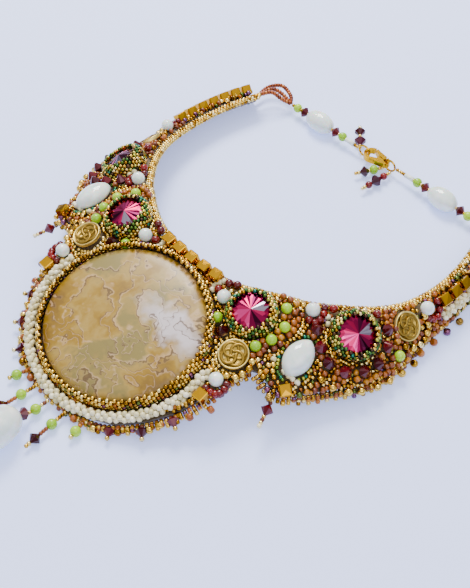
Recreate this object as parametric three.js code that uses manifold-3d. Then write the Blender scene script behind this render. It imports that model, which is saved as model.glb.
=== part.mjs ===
import * as THREE from "three";
import { mergeVertices } from "three/addons/utils/BufferGeometryUtils.js";
import Module from "manifold-3d";

const wasm = await Module();
wasm.setup();

// Driving sizes of the collar, in millimetres
const neckHalfWidth = 62.5;
const neckLength = 100;
const neckRise = 20.6;
const plateThickness = 1.6;
const clearance = 0.3;

// Stones, metal and beads
const agateWidth = 61;
const agateLength = 56.8;
const agateHeight = 5.4;
const agateLip = 3.3;
const agateBezelWidth = 2;
const agateLean = 1.5;
const rivoliDiameter = 14;
const rivoliCrown = 1.9;
const rivoliPavilion = 3;
const rivoliBezelWidth = 2;
const coinDiameter = 10.4;
const coinThickness = 1.6;
const coinRelief = 0.5;
const navetteLength = 15;
const navetteWidth = 9.8;
const navetteHeight = 5.4;
const whiteDiameter = 5;
const greenDiameter = 3.8;
const siamDiameter = 3;
const biconeSize = 4;
const crystalSize = 5;
const cubeSide = 4;
const ovalLength = 13.5;
const ovalWidth = 8.5;
const dropLength = 20;
const dropWidth = 13.5;
const bugleLength = 4.4;
const bugleWidth = 1.8;
const seedWidth = 1.7;
const seedLength = 1.15;
const fieldHeight = 1.5;

// Ropes, edgings and threads
const ropeDiameter = 4;
const armRopeDiameter = 3.4;
const neckEdgingWidth = 2.4;
const outerEdgingWidth = 2;
const threadDiameter = 0.8;
const loopWire = 1.7;

// Clasp
const claspLength = 12;
const claspWidth = 7;
const claspThickness = 2.2;
const claspWall = 1.3;
const leverLength = 5;
const knuckleRadius = 1.1;
const ringDiameter = 5;
const ringWire = 0.9;

// The arms are as wide as a cube and a cream rope, and the lobe in front is sized round the agate,
// its bezel and the cream rope
const armMargin = 2.1;
const bibHalfWidth = neckHalfWidth + cubeSide + armRopeDiameter + armMargin;
const lobeMargin = 3.94;
const lobeHalfWidth = agateWidth / 2 + agateBezelWidth + ropeDiameter + 2 * clearance + lobeMargin;
const bibMargin = 4.7;
const bibDrop = agateLength + bibMargin;

// A row for each section of the right half, from the front to the arm's end. neckX is a share
// of neckHalfWidth, neckY of neckLength, neckZ, edgeZ and crown of neckRise. edgeX is a share of
// lobeHalfWidth in the lobeRows and of bibHalfWidth in the rest, and edgeY of bibDrop in front of
// the neck and of neckLength behind it.
const lobeRows = 5;
const sections = [
  { neckX: 0, neckY: 0.03, neckZ: 0.965, edgeX: 0, edgeY: -1, edgeZ: 0.09, crown: 0 },
  { neckX: 0.12, neckY: 0.032, neckZ: 0.967, edgeX: 0.456, edgeY: -0.955, edgeZ: 0.13, crown: 0 },
  { neckX: 0.23, neckY: 0.038, neckZ: 0.985, edgeX: 0.754, edgeY: -0.79, edgeZ: 0.27, crown: 0 },
  { neckX: 0.33, neckY: 0.055, neckZ: 1.01, edgeX: 0.939, edgeY: -0.58, edgeZ: 0.46, crown: 0 },
  { neckX: 0.41, neckY: 0.075, neckZ: 1.035, edgeX: 1, edgeY: -0.36, edgeZ: 0.64, crown: 0.01 },
  { neckX: 0.49, neckY: 0.105, neckZ: 1.03, edgeX: 0.62, edgeY: -0.21, edgeZ: 0.7, crown: 0.02 },
  { neckX: 0.57, neckY: 0.14, neckZ: 0.99, edgeX: 0.735, edgeY: -0.22, edgeZ: 0.56, crown: 0.04 },
  { neckX: 0.64, neckY: 0.17, neckZ: 0.945, edgeX: 0.83, edgeY: -0.12, edgeZ: 0.46, crown: 0.06 },
  { neckX: 0.715, neckY: 0.215, neckZ: 0.905, edgeX: 0.9, edgeY: 0.02, edgeZ: 0.37, crown: 0.08 },
  { neckX: 0.79, neckY: 0.265, neckZ: 0.86, edgeX: 0.975, edgeY: 0.13, edgeZ: 0.27, crown: 0.1 },
  { neckX: 0.865, neckY: 0.325, neckZ: 0.79, edgeX: 1, edgeY: 0.25, edgeZ: 0.2, crown: 0.1 },
  { neckX: 0.93, neckY: 0.395, neckZ: 0.715, edgeX: 0.99, edgeY: 0.365, edgeZ: 0.15, crown: 0.09 },
  { neckX: 0.975, neckY: 0.475, neckZ: 0.66, edgeX: 0.98, edgeY: 0.46, edgeZ: 0.13, crown: 0.09 },
  { neckX: 1, neckY: 0.59, neckZ: 0.61, edgeX: 0.98, edgeY: 0.58, edgeZ: 0.12, crown: 0.09 },
  { neckX: 0.995, neckY: 0.71, neckZ: 0.58, edgeX: 0.965, edgeY: 0.71, edgeZ: 0.11, crown: 0.08 },
  { neckX: 0.965, neckY: 0.82, neckZ: 0.56, edgeX: 0.935, edgeY: 0.83, edgeZ: 0.11, crown: 0.07 },
  { neckX: 0.92, neckY: 0.92, neckZ: 0.54, edgeX: 0.885, edgeY: 0.945, edgeZ: 0.11, crown: 0.06 },
];

// Where each piece sits on the plate: along from the front centre to the arm's end, across from
// the neck to the outer edge, lift above the plate, lean outwards and turn in degrees.
const seats = {
  agate: { along: 0, across: 0.492, lift: 1.2, lean: agateLean, turn: 0 },
  rivoliFront: { along: 0.262, across: 0.268, lift: 4.2, lean: 5, turn: 0 },
  rivoliSide: { along: 0.556, across: 0.405, lift: 3.9, lean: 9, turn: 0 },
  coinFront: { along: 0.25, across: 0.748, lift: 1.9, lean: 6, turn: 0 },
  coinSide: { along: 0.69, across: 0.47, lift: 0.9, lean: 3, turn: 0 },
  navette: { along: 0.423, across: 0.636, lift: 0.9, lean: 0, turn: 57 },
  whiteNeck: { along: 0.155, across: 0.1, lift: 3.1, lean: 0, turn: 0 },
  whiteInner: { along: 0.45, across: 0.066, lift: 2.9, lean: 0, turn: 0 },
  whiteLobe: { along: 0.23, across: 0.957, lift: 2.9, lean: 0, turn: 0 },
  whiteArm: { along: 0.759, across: 0.286, lift: 2.9, lean: 0, turn: 0 },
  cubeNotch: { along: 0.401, across: 1, lift: 2.8, lean: 0, turn: 20 },
  cubeLobe: { along: 0.208, across: 1.02, lift: 2.6, lean: 0, turn: 10 },
};
const accents = [
  { kind: "green", along: 0.362, across: 0.117 },
  { kind: "green", along: 0.371, across: 0.339 },
  { kind: "green", along: 0.34, across: 0.575 },
  { kind: "green", along: 0.3, across: 0.742 },
  { kind: "green", along: 0.64, across: 0.85 },
  { kind: "bicone", along: 0.465, across: 0.304 },
  { kind: "bicone", along: 0.635, across: 0.41 },
  { kind: "bicone", along: 0.621, across: 0.657 },
  { kind: "bicone", along: 0.591, across: 0.813 },
  { kind: "bicone", along: 0.56, across: 0.85 },
  { kind: "bicone", along: 0.525, across: 0.827 },
  { kind: "bicone", along: 0.493, across: 0.709 },
  { kind: "bicone", along: 0.476, across: 0.518 },
];
const fieldRows = [5, 18];
const cubesFront = { rows: [-0.098, -0.049, 0, 0.049, 0.098], across: -0.015, lift: 2.7 };
const cubesArm = { first: 0.802, pitch: 0.0285, count: 7, across: 0.33, lift: 2.4 };
const armRope = { from: 0.79, to: 0.985, across: 0.74 };
const fringe = [
  { along: 0.159, from: -1.35, beads: ["bicone"] },
  { along: 0.118, from: -0.75, beads: ["bicone"] },
  { along: 0.0785, from: -1.35, beads: ["bicone"] },
  { along: 0.0465, from: -0.55, beads: ["seedRun", "green"] },
  { along: 0.024, from: 2.05, beads: ["seedRun", "green", "seedRun", "bicone"] },
];

// Where the strands start, and the clasp they meet at, measured from the middle of the arm's end
// and from the floor. A loop's arc leaves the arm's end at a share across it and passes through
// the points given. A charm leaves its ring at an angle.
const strandStart = [-12.47, 8.05, 4.2];
const loopArcs = [
  { across: 0.92, through: [[1.63, 8.05, 4.6], [-2.97, 12.25, 6], [-9.37, 11.05, 5.2]] },
  { across: 0.5, through: [[-2.77, 6.65, 7.2], [-7.17, 8.25, 6.2]] },
  { across: 0.08, through: [[-5.57, 3.45, 8.8], [-9.17, 5.85, 6]] },
];
const charms = [
  { name: "far", end: "left", angle: 217, heading: 132, length: 14.5, lead: 3 },
  { name: "near", end: "right", angle: 323, heading: 264, length: 16.5, lead: 3 },
  { name: "inner", end: "right", angle: 228, heading: 244, length: 12.5, lead: 2.6 },
];
const charmBeads = {
  far: ["crystal", "bicone"],
  near: ["siam", "crystal", "siam"],
  inner: ["green", "bicone"],
};
const claspPlace = { x: -1.2, behind: 8.45, z: 4, turn: 3 };
const armRopeCells = 14;
const agateSides = 36;

// Colours and finishes
const finish = (color, roughness, metalness = 0) => () =>
  new THREE.MeshStandardMaterial({ color, roughness, metalness });
const suede = finish(0x4a3a2a, 0.95);
const agateStone = finish(0xb79c62, 0.25);
const crystal = finish(0xc02f5c, 0.08);
const whiteGlass = finish(0xe6ebe8, 0.3);
const seedGold = finish(0xc9a24a, 0.35, 0.8);
const seedBronze = finish(0x8a7a3c, 0.4, 0.6);
const seedCream = finish(0xefe9d6, 0.4);
const seedCopper = finish(0xa8562c, 0.45, 0.3);
const goldMetal = finish(0xd9b04c, 0.25, 1);
const agedBrass = finish(0x8c7230, 0.45, 0.9);
const garnetGlass = finish(0x5a1020, 0.12);

// Makes a solid from a three.js geometry, welded and facing out.
function solidOf(geometry, matrix = new THREE.Matrix4()) {
  const bare = geometry.clone().applyMatrix4(matrix);
  bare.deleteAttribute("normal");
  bare.deleteAttribute("uv");
  const welded = mergeVertices(bare, 1e-4);
  const spot = welded.attributes.position;
  const corners = [];
  let volume = 0;
  for (let i = 0; i < welded.index.count; i += 3) {
    const [a, b, c] = [0, 1, 2].map((k) => welded.index.getX(i + k));
    if (a === b || b === c || c === a) continue;
    corners.push([a, b, c]);
    const [p, q, r] = [a, b, c].map((k) => new THREE.Vector3().fromBufferAttribute(spot, k));
    volume += p.dot(q.cross(r));
  }
  if (volume < 0) corners.forEach((corner) => corner.reverse());
  return new wasm.Manifold(
    new wasm.Mesh({ numProp: 3, vertProperties: spot.array, triVerts: new Uint32Array(corners.flat()) }),
  );
}

function geometryOf(solid) {
  const mesh = solid.getMesh();
  const geometry = new THREE.BufferGeometry();
  geometry.setAttribute("position", new THREE.Float32BufferAttribute(mesh.vertProperties, 3));
  geometry.setIndex(Array.from(mesh.triVerts));
  geometry.computeVertexNormals();
  return geometry;
}

const necklace = new THREE.Group();
function addPiece(name, solid, material, matrix = new THREE.Matrix4()) {
  const piece = new THREE.Mesh(geometryOf(solid), material());
  piece.name = name;
  piece.applyMatrix4(matrix);
  necklace.add(piece);
}
const sides = [
  { name: "right", sign: 1 },
  { name: "left", sign: -1 },
];
const joined = (solids) => solids.reduce((whole, solid) => whole.add(solid));
const largest = (solid) => solid.decompose().sort((a, b) => b.volume() - a.volume())[0];

// The collar's two guide lines, mirrored about the front centre
const mirrored = (points) => [
  ...points.slice(1).reverse().map((p) => new THREE.Vector3(-p.x, p.y, p.z)),
  ...points,
];
const neckLine = new THREE.CatmullRomCurve3(
  mirrored(
    sections.map(
      (s) => new THREE.Vector3(s.neckX * neckHalfWidth, s.neckY * neckLength, s.neckZ * neckRise),
    ),
  ),
);
const edgeLine = new THREE.CatmullRomCurve3(
  mirrored(
    sections.map((s, row) => {
      const width = s.edgeX * (row < lobeRows ? lobeHalfWidth : bibHalfWidth);
      const reach = s.edgeY * (s.edgeY < 0 ? bibDrop : neckLength);
      return new THREE.Vector3(width, reach, s.edgeZ * neckRise);
    }),
  ),
);
function crownAt(along) {
  const row = Math.abs(along) * (sections.length - 1);
  const low = Math.min(Math.floor(row), sections.length - 2);
  const near = sections[low].crown;
  return neckRise * (near + (row - low) * (sections[low + 1].crown - near));
}

// Upper surface of the plate. along runs from -1 at the left arm's end to 1 at the right one,
// across from 0 beside the neck edging to 1 at the outer edge.
function plateTop(along, across) {
  const inner = neckLine.getPoint((along + 1) / 2);
  const outer = edgeLine.getPoint((along + 1) / 2);
  const out = outer.clone().sub(inner).normalize();
  inner.addScaledVector(out, neckEdgingWidth + clearance);
  const point = inner.lerp(outer, across);
  point.z += crownAt(along) * 4 * across * (1 - across);
  return point;
}
const step = 0.006;
function plateAhead(along, across) {
  const next = plateTop(Math.min(along + step, 1), across);
  return next.sub(plateTop(Math.max(along - step, -1), across)).normalize();
}
function plateOut(along, across) {
  return plateTop(along, across + step).sub(plateTop(along, across - step)).normalize();
}
function plateNormal(along, across) {
  return plateOut(along, across).cross(plateAhead(along, across)).normalize();
}
const edgeOut = (along, across) => plateAhead(along, across).cross(plateNormal(along, across)).normalize();

// Frame of a seat: X runs ahead, Z stands off the plate, and lean tips Z outwards.
function seatFrame(seat, sign = 1) {
  const along = seat.along * sign;
  const normal = plateNormal(along, seat.across);
  const ahead = plateAhead(along, seat.across);
  ahead.addScaledVector(normal, -ahead.dot(normal)).normalize();
  const frame = new THREE.Matrix4().makeBasis(ahead, normal.clone().cross(ahead), normal);
  frame.setPosition(plateTop(along, seat.across).addScaledVector(normal, seat.lift));
  frame.multiply(new THREE.Matrix4().makeRotationX(THREE.MathUtils.degToRad(seat.lean)));
  return frame.multiply(
    new THREE.Matrix4().makeRotationZ(THREE.MathUtils.degToRad(seat.turn * sign)),
  );
}

// A layer that follows the plate between two lifts and two ends.
function layer(fromAlong, toAlong, fromAcross, toAcross, low, high, alongCells, acrossCells) {
  const ring = 2 * (acrossCells + 1);
  const position = [];
  for (let i = 0; i <= alongCells; i++) {
    const along = THREE.MathUtils.lerp(fromAlong, toAlong, i / alongCells);
    const upper = [];
    const lower = [];
    for (let j = 0; j <= acrossCells; j++) {
      const across = THREE.MathUtils.lerp(fromAcross, toAcross, j / acrossCells);
      const normal = plateNormal(along, across);
      upper.push(plateTop(along, across).addScaledVector(normal, high));
      lower.unshift(plateTop(along, across).addScaledVector(normal, low));
    }
    for (const point of [...upper, ...lower]) position.push(...point.toArray());
  }
  const index = [];
  for (let i = 0; i < alongCells; i++) {
    for (let j = 0; j < ring; j++) {
      const a = i * ring + j;
      const b = i * ring + ((j + 1) % ring);
      index.push(a, b, b + ring, a, b + ring, a + ring);
    }
  }
  const last = alongCells * ring;
  for (let j = 0; j < acrossCells; j++) {
    const k = ring - 1 - j;
    index.push(j, k, k - 1, j, k - 1, j + 1);
    index.push(last + j, last + k - 1, last + k, last + j, last + j + 1, last + k - 1);
  }
  const geometry = new THREE.BufferGeometry();
  geometry.setAttribute("position", new THREE.Float32BufferAttribute(position, 3));
  geometry.setIndex(index);
  return solidOf(geometry);
}

// Turned and swept forms
const turned = (profile, segments) =>
  new THREE.LatheGeometry(profile.map(([r, h]) => new THREE.Vector2(r, h)), segments).rotateX(
    Math.PI / 2,
  );
function sweep(points, radius, segments, steps) {
  const section = new THREE.Shape();
  for (let k = 0; k < segments; k++) {
    const angle = (2 * Math.PI * k) / segments;
    section[k ? "lineTo" : "moveTo"](radius * Math.cos(angle), radius * Math.sin(angle));
  }
  section.closePath();
  const extrudePath = new THREE.CatmullRomCurve3(points);
  return new THREE.ExtrudeGeometry(section, { steps, extrudePath, bevelEnabled: false });
}

// Beads, each with its hole along Z
const round = (diameter, sides = 10, rows = 4) => new THREE.SphereGeometry(diameter / 2, sides, rows);
const rod = (width, length) =>
  new THREE.CylinderGeometry(width / 2, width / 2, length, 10).rotateX(Math.PI / 2);
const longRound = (width, length) => round(1, 10, 6).rotateX(Math.PI / 2).scale(width, width, length);
const facetedBead = (size, segments) =>
  turned([[0, -size / 2], [size / 2, 0], [0, size / 2]], segments);
const beads = {
  green: { length: greenDiameter, make: () => round(greenDiameter) },
  siam: { length: siamDiameter, make: () => round(siamDiameter) },
  bicone: { length: biconeSize, make: () => facetedBead(biconeSize, 8) },
  crystal: { length: crystalSize, make: () => facetedBead(crystalSize, 8) },
  bugle: { length: bugleLength, make: () => rod(bugleWidth, bugleLength) },
  seed: { length: seedLength, make: () => rod(seedWidth, seedLength) },
  seedRun: { length: 3 * seedLength, make: () => rod(seedWidth, 3 * seedLength) },
  oval: { length: ovalLength, make: () => longRound(ovalWidth, ovalLength) },
  drop: { length: dropLength, make: () => longRound(dropWidth, dropLength) },
};

// Strings beads of the given kinds end to end on one thread, and fuses them to it.
function strung(points, kinds, lead = 0) {
  const path = new THREE.CatmullRomCurve3(points);
  const whole = path.getLength();
  const steps = points.length > 2 ? points.length : 1;
  const solids = [solidOf(sweep(points, threadDiameter / 2, 4, steps))];
  let run = lead;
  for (const kind of kinds) {
    const share = Math.min((run + beads[kind].length / 2) / whole, 1);
    const turn = new THREE.Quaternion().setFromUnitVectors(
      new THREE.Vector3(0, 0, 1),
      path.getTangentAt(share),
    );
    const place = new THREE.Matrix4().makeRotationFromQuaternion(turn);
    place.setPosition(path.getPointAt(share));
    solids.push(solidOf(beads[kind].make(), place));
    run += beads[kind].length;
  }
  return joined(solids);
}
function armEnd(sign) {
  const middle = plateTop(sign, 0.5);
  return middle.setZ(0);
}
const fromArmEnd = (points, sign) =>
  points.map(([x, y, z]) => new THREE.Vector3(x * sign, y, z).add(armEnd(sign)));

// Backing plate
const plateCells = 48;
const acrossCells = 3;
const backing = layer(-1, 1, 0, 1, -plateThickness, 0, plateCells, acrossCells);
addPiece("backing", backing, suede);
const ground = layer(-1, 1, -0.1, 1.15, -plateThickness * 3, clearance, plateCells, acrossCells);

// Agate cabochon in its beaded bezel
const agateStretch = new THREE.Matrix4().makeScale(agateWidth / agateLength, 1, 1);
const agateRadius = agateLength / 2;
const agateProfile = [
  [0, 0],
  [0.97 * agateRadius, 0],
  [agateRadius, 0.2 * agateLip],
  [0.985 * agateRadius, 0.7 * agateLip],
  [0.955 * agateRadius, agateLip],
  [0.8 * agateRadius, THREE.MathUtils.lerp(agateLip, agateHeight, 0.6)],
  [0.5 * agateRadius, THREE.MathUtils.lerp(agateLip, agateHeight, 0.92)],
  [0, agateHeight],
];
const agateFrame = seatFrame(seats.agate);
const agateSeat = agateFrame.clone().multiply(agateStretch);
addPiece("agate", solidOf(turned(agateProfile, agateSides), agateStretch), agateStone, agateFrame);
const agateBezelProfile = [
  [agateRadius + clearance, 0],
  [agateRadius + agateBezelWidth, 0],
  [agateRadius + agateBezelWidth, 0.5 * agateLip],
  [agateRadius + 0.4 * agateBezelWidth, agateLip + clearance],
  [0.97 * agateRadius, agateLip + 3 * clearance],
  [0.97 * agateRadius, agateLip + clearance],
  [agateRadius + clearance, 0.7 * agateLip],
  [agateRadius + clearance, 0],
];
addPiece("agate_bezel", solidOf(turned(agateBezelProfile, agateSides), agateSeat), seedBronze);

// Cream rope round the agate, open at the neck side
const ropeCentre = agateRadius + agateBezelWidth + clearance + ropeDiameter / 2;
const ropeSeat = seatFrame({ ...seats.agate, lift: clearance, lean: 0 }).multiply(agateStretch);
const ropeOpening = THREE.MathUtils.degToRad(80);
const ropePoints = [];
for (let i = 0; i <= 24; i++) {
  const angle = Math.PI / 2 + ropeOpening + (i / 24) * 2 * (Math.PI - ropeOpening);
  const spot = new THREE.Vector3(ropeCentre * Math.cos(angle), ropeCentre * Math.sin(angle), 0);
  spot.setZ(ropeDiameter / 2).applyMatrix4(ropeSeat);
  spot.z = Math.max(spot.z, ropeDiameter / 2);
  ropePoints.push(spot);
}
const creamRope = solidOf(sweep(ropePoints, ropeDiameter / 2, 6, 28)).subtract(ground);
addPiece("cream_rope", creamRope, seedCream);

// Pieces that keep the bead field clear of them, for each side
const cutters = { right: [], left: [] };
const cutterSides = 10;
const cutterDepth = 40;
function keepClear(side, frame, radius, stretch = 1) {
  const flat = (radius + clearance) / Math.cos(Math.PI / cutterSides);
  const post = new THREE.CylinderGeometry(flat, flat, cutterDepth, cutterSides);
  post.rotateX(Math.PI / 2).scale(stretch, 1, 1);
  cutters[side].push(solidOf(post, frame));
}

// Rivolis in their beaded bezels
const rivoliRadius = rivoliDiameter / 2;
const rivoliProfile = [
  [0, -rivoliPavilion],
  [rivoliRadius, -0.2],
  [rivoliRadius, 0.2],
  [0.12 * rivoliRadius, rivoliCrown],
  [0, rivoliCrown],
];
const rivoliBezelProfile = [
  [rivoliRadius + clearance, -2 * rivoliPavilion],
  [rivoliRadius + rivoliBezelWidth, -2 * rivoliPavilion],
  [rivoliRadius + rivoliBezelWidth, -0.4 * rivoliPavilion],
  [rivoliRadius + 0.4 * rivoliBezelWidth, 1],
  [0.92 * rivoliRadius, 1.3],
  [0.92 * rivoliRadius, 0.8],
  [rivoliRadius + clearance, 0.4],
  [rivoliRadius + clearance, -2 * rivoliPavilion],
];
for (const side of sides) {
  for (const [place, seat] of [["front", seats.rivoliFront], ["side", seats.rivoliSide]]) {
    const frame = seatFrame(seat, side.sign);
    addPiece(`rivoli_${place}_${side.name}`, solidOf(turned(rivoliProfile, 16)), crystal, frame);
    const bezel = solidOf(turned(rivoliBezelProfile, 12), frame).subtract(ground);
    addPiece(`rivoli_bezel_${place}_${side.name}`, bezel, seedBronze);
    keepClear(side.name, frame, rivoliRadius + rivoliBezelWidth);
  }
}

// Coins with a raised rim and an endless knot
function coinSolid() {
  const half = coinDiameter / 2;
  const rim = 0.84 * half;
  const face = coinThickness - coinRelief;
  const edge = [[0, 0], [half, 0], [half, coinThickness], [rim, coinThickness], [rim, face], [0, face]];
  const disc = solidOf(turned(edge, 20));
  const lobes = 4;
  const knot = [];
  for (let i = 0; i < 16; i++) {
    const angle = (2 * Math.PI * i) / 16;
    const reach = half * (0.42 + 0.24 * Math.cos(lobes * angle));
    knot.push([reach * Math.cos(angle), reach * Math.sin(angle)]);
  }
  const band = new THREE.Shape(knot.map(([x, y]) => new THREE.Vector2(1.12 * x, 1.12 * y)));
  band.holes.push(new THREE.Path(knot.map(([x, y]) => new THREE.Vector2(0.76 * x, 0.76 * y))));
  const root = 0.4;
  const knotGeometry = new THREE.ExtrudeGeometry(band, { depth: coinRelief + root, bevelEnabled: false });
  knotGeometry.translate(0, 0, face - root);
  return disc.add(solidOf(knotGeometry));
}
for (const side of sides) {
  for (const [place, seat] of [["front", seats.coinFront], ["side", seats.coinSide]]) {
    const frame = seatFrame(seat, side.sign);
    addPiece(`coin_${place}_${side.name}`, coinSolid(), agedBrass, frame);
    keepClear(side.name, frame, coinDiameter / 2);
  }
}

// Navettes of white glass, with pointed ends
function navetteSolid() {
  const rows = [[0.9, 0], [1, 0.16], [0.93, 0.5], [0.68, 0.82], [0.34, 0.97]];
  const around = 24;
  const position = [0, 0, 0];
  for (const [share, height] of rows) {
    for (let i = 0; i < around; i++) {
      const angle = (2 * Math.PI * i) / around;
      const across = Math.sign(Math.sin(angle)) * Math.abs(Math.sin(angle)) ** 1.35;
      const long = (share * navetteLength * Math.cos(angle)) / 2;
      position.push(long, (share * navetteWidth * across) / 2, height * navetteHeight);
    }
  }
  position.push(0, 0, navetteHeight);
  const top = 1 + rows.length * around;
  const index = [];
  for (let i = 0; i < around; i++) {
    const j = (i + 1) % around;
    index.push(0, 1 + j, 1 + i, top, top - around + i, top - around + j);
    for (let row = 0; row < rows.length - 1; row++) {
      const a = 1 + row * around;
      index.push(a + i, a + j, a + around + j, a + i, a + around + j, a + around + i);
    }
  }
  const geometry = new THREE.BufferGeometry();
  geometry.setAttribute("position", new THREE.Float32BufferAttribute(position, 3));
  geometry.setIndex(index);
  return solidOf(geometry);
}
for (const side of sides) {
  const frame = seatFrame(seats.navette, side.sign);
  addPiece(`navette_${side.name}`, navetteSolid(), whiteGlass, frame);
  keepClear(side.name, frame, navetteWidth / 2, navetteLength / navetteWidth);
}

// White rounds
for (const side of sides) {
  for (const place of ["Neck", "Inner", "Lobe", "Arm"]) {
    const frame = seatFrame(seats[`white${place}`], side.sign);
    const name = `white_bead_${place.toLowerCase()}_${side.name}`;
    addPiece(name, solidOf(round(whiteDiameter, 10, 5)), whiteGlass, frame);
    keepClear(side.name, frame, whiteDiameter / 2);
  }
}

// Metal cubes: five at the front, two beside the lobes, and a row on each arm
const cube = () => solidOf(new THREE.BoxGeometry(cubeSide, cubeSide, cubeSide));
cubesFront.rows.forEach((along, i) => {
  const frame = seatFrame({ along, across: cubesFront.across, lift: cubesFront.lift, lean: 0, turn: 0 });
  addPiece(`cube_front_${i + 1}`, cube(), goldMetal, frame);
});
for (const side of sides) {
  for (const place of ["Notch", "Lobe"]) {
    const frame = seatFrame(seats[`cube${place}`], side.sign);
    addPiece(`cube_${place.toLowerCase()}_${side.name}`, cube(), goldMetal, frame);
    keepClear(side.name, frame, 0.72 * cubeSide);
  }
  const row = [];
  const threaded = [];
  for (let i = 0; i < cubesArm.count; i++) {
    const along = cubesArm.first + i * cubesArm.pitch;
    const seat = { along, across: cubesArm.across, lift: cubesArm.lift, lean: 0, turn: 0 };
    const frame = seatFrame(seat, side.sign);
    row.push(solidOf(new THREE.BoxGeometry(cubeSide, cubeSide, cubeSide), frame));
    threaded.push(new THREE.Vector3().setFromMatrixPosition(frame));
  }
  row.push(solidOf(sweep(threaded, threadDiameter / 2, 4, 6)));
  addPiece(`cubes_arm_${side.name}`, joined(row), goldMetal);
}

// Cream ropes on the arms
for (const side of sides) {
  const points = [];
  for (let i = 0; i <= 10; i++) {
    const along = side.sign * THREE.MathUtils.lerp(armRope.from, armRope.to, i / 10);
    const normal = plateNormal(along, armRope.across);
    points.push(plateTop(along, armRope.across).addScaledVector(normal, armRopeDiameter / 2 + clearance));
  }
  const rope = solidOf(sweep(points, armRopeDiameter / 2, 6, armRopeCells)).subtract(ground);
  addPiece(`cream_rope_arm_${side.name}`, largest(rope), seedCream);
}

// Bead fields between the stones, with the larger round and faceted beads fused in
const agateReach = agateRadius + agateBezelWidth + clearance;
const agatePost = new THREE.CylinderGeometry(agateReach, agateReach, cutterDepth, agateSides);
agatePost.rotateX(Math.PI / 2);
const lobeWidth = 2 * ropeCentre + 3 * ropeDiameter;
const lobePost = new THREE.BoxGeometry(lobeWidth, 2 * ropeCentre, cutterDepth);
const ropeTip = ropePoints[0].clone().applyMatrix4(agateSeat.clone().invert());
lobePost.translate(0, ropeTip.y + ropeDiameter - ropeCentre, 0);
const agateClear = solidOf(agatePost, agateSeat).add(solidOf(lobePost, agateSeat));
for (const side of sides) {
  const rows = side.sign > 0 ? fieldRows : fieldRows.map((row) => -row).reverse();
  const ends = rows.map((row) => (2 * row) / plateCells);
  const top = clearance + fieldHeight;
  const pierced = [agateClear, ...cutters[side.name]].reduce(
    (whole, cutter) => whole.subtract(cutter),
    layer(...ends, 0.04, 0.97, clearance, top, fieldRows[1] - fieldRows[0], acrossCells),
  );
  const field = largest(pierced);
  const set = accents.map(({ kind, along, across }) => {
    const lift = top + 0.2 * beads[kind].length;
    const frame = seatFrame({ along, across, lift, lean: 0, turn: 0 }, side.sign);
    return solidOf(beads[kind].make(), frame);
  });
  addPiece(`bead_field_${side.name}`, joined([field, ...set]), seedCopper);
}

// Edgings along the neck and the outer edge
function edging(from, to, across, width, count, steps) {
  const points = [];
  for (let i = 0; i <= count; i++) {
    const along = THREE.MathUtils.lerp(from, to, i / count);
    const out = edgeOut(along, across).multiplyScalar(across > 0.5 ? 1 : -1);
    const spot = plateTop(along, across).addScaledVector(out, 1.5 * clearance + width / 2);
    spot.addScaledVector(plateNormal(along, across), -plateThickness / 2);
    spot.z = Math.max(spot.z, width / 2);
    points.push(spot);
  }
  return solidOf(sweep(points, width / 2, 5, steps));
}
addPiece("neck_edging", edging(-1, 1, 0, neckEdgingWidth, 64, 52), seedGold);
for (const side of sides) {
  const ends = side.sign > 0 ? [0.33, 1] : [-1, -0.33];
  addPiece(`outer_edging_${side.name}`, edging(...ends, 1, outerEdgingWidth, 28, 24), seedGold);
}

// Fringe along the agate's edge, on one beaded edging
function fringeRoute(along, length) {
  const out = edgeOut(along, 1);
  const start = plateTop(along, 1).addScaledVector(out, 1.5 * clearance + outerEdgingWidth / 2);
  const low = biconeSize / 2 + clearance / 3;
  start.z = Math.max(start.z - plateThickness / 2, low);
  const end = start.clone().addScaledVector(out, length);
  end.z = Math.max(end.z, low);
  return [start, end];
}
const fringeParts = [edging(-0.3, 0.3, 1, outerEdgingWidth, 24, 22)];
for (const { along, from, beads: kinds } of fringe) {
  const length = kinds.reduce((sum, kind) => sum + beads[kind].length, from);
  for (const side of sides) {
    fringeParts.push(strung(fringeRoute(along * side.sign, length), kinds, from));
  }
}
addPiece("fringe", joined(fringeParts), seedGold);

// Centre drop, lying in front of the fringe: its string lies low and climbs to the drop's end.
// dropRests holds places out from its start and their heights.
const dropKinds = ["seedRun", "green", "seed", "bicone", "drop"];
const dropLead = 0.65;
const dropRests = [[8, 2.6], [13, 6], [20, dropWidth / 2 + clearance / 3]];
const dropStart = fringeRoute(0, 1)[0];
dropStart.y -= outerEdgingWidth / 2 + clearance;
const dropReach = dropKinds.reduce((sum, kind) => sum + beads[kind].length, dropLead);
const dropRoute = [...dropRests, [dropReach, dropWidth / 2 + clearance / 3]].map(
  ([out, height]) => new THREE.Vector3(0, dropStart.y - out, height),
);
addPiece("centre_drop", strung([dropStart, ...dropRoute], dropKinds, dropLead), garnetGlass);

// Dangles at the notches
const notchAlong = 0.385;
for (const side of sides) {
  const along = notchAlong * side.sign;
  const start = plateTop(along, 1);
  start.addScaledVector(edgeOut(along, 1), outerEdgingWidth + 2 * clearance);
  const end = start.clone().add(new THREE.Vector3(4 * side.sign, -11, -2.5));
  addPiece(`notch_dangle_${side.name}`, strung([start, end], ["bicone"]), garnetGlass);
}

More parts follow.
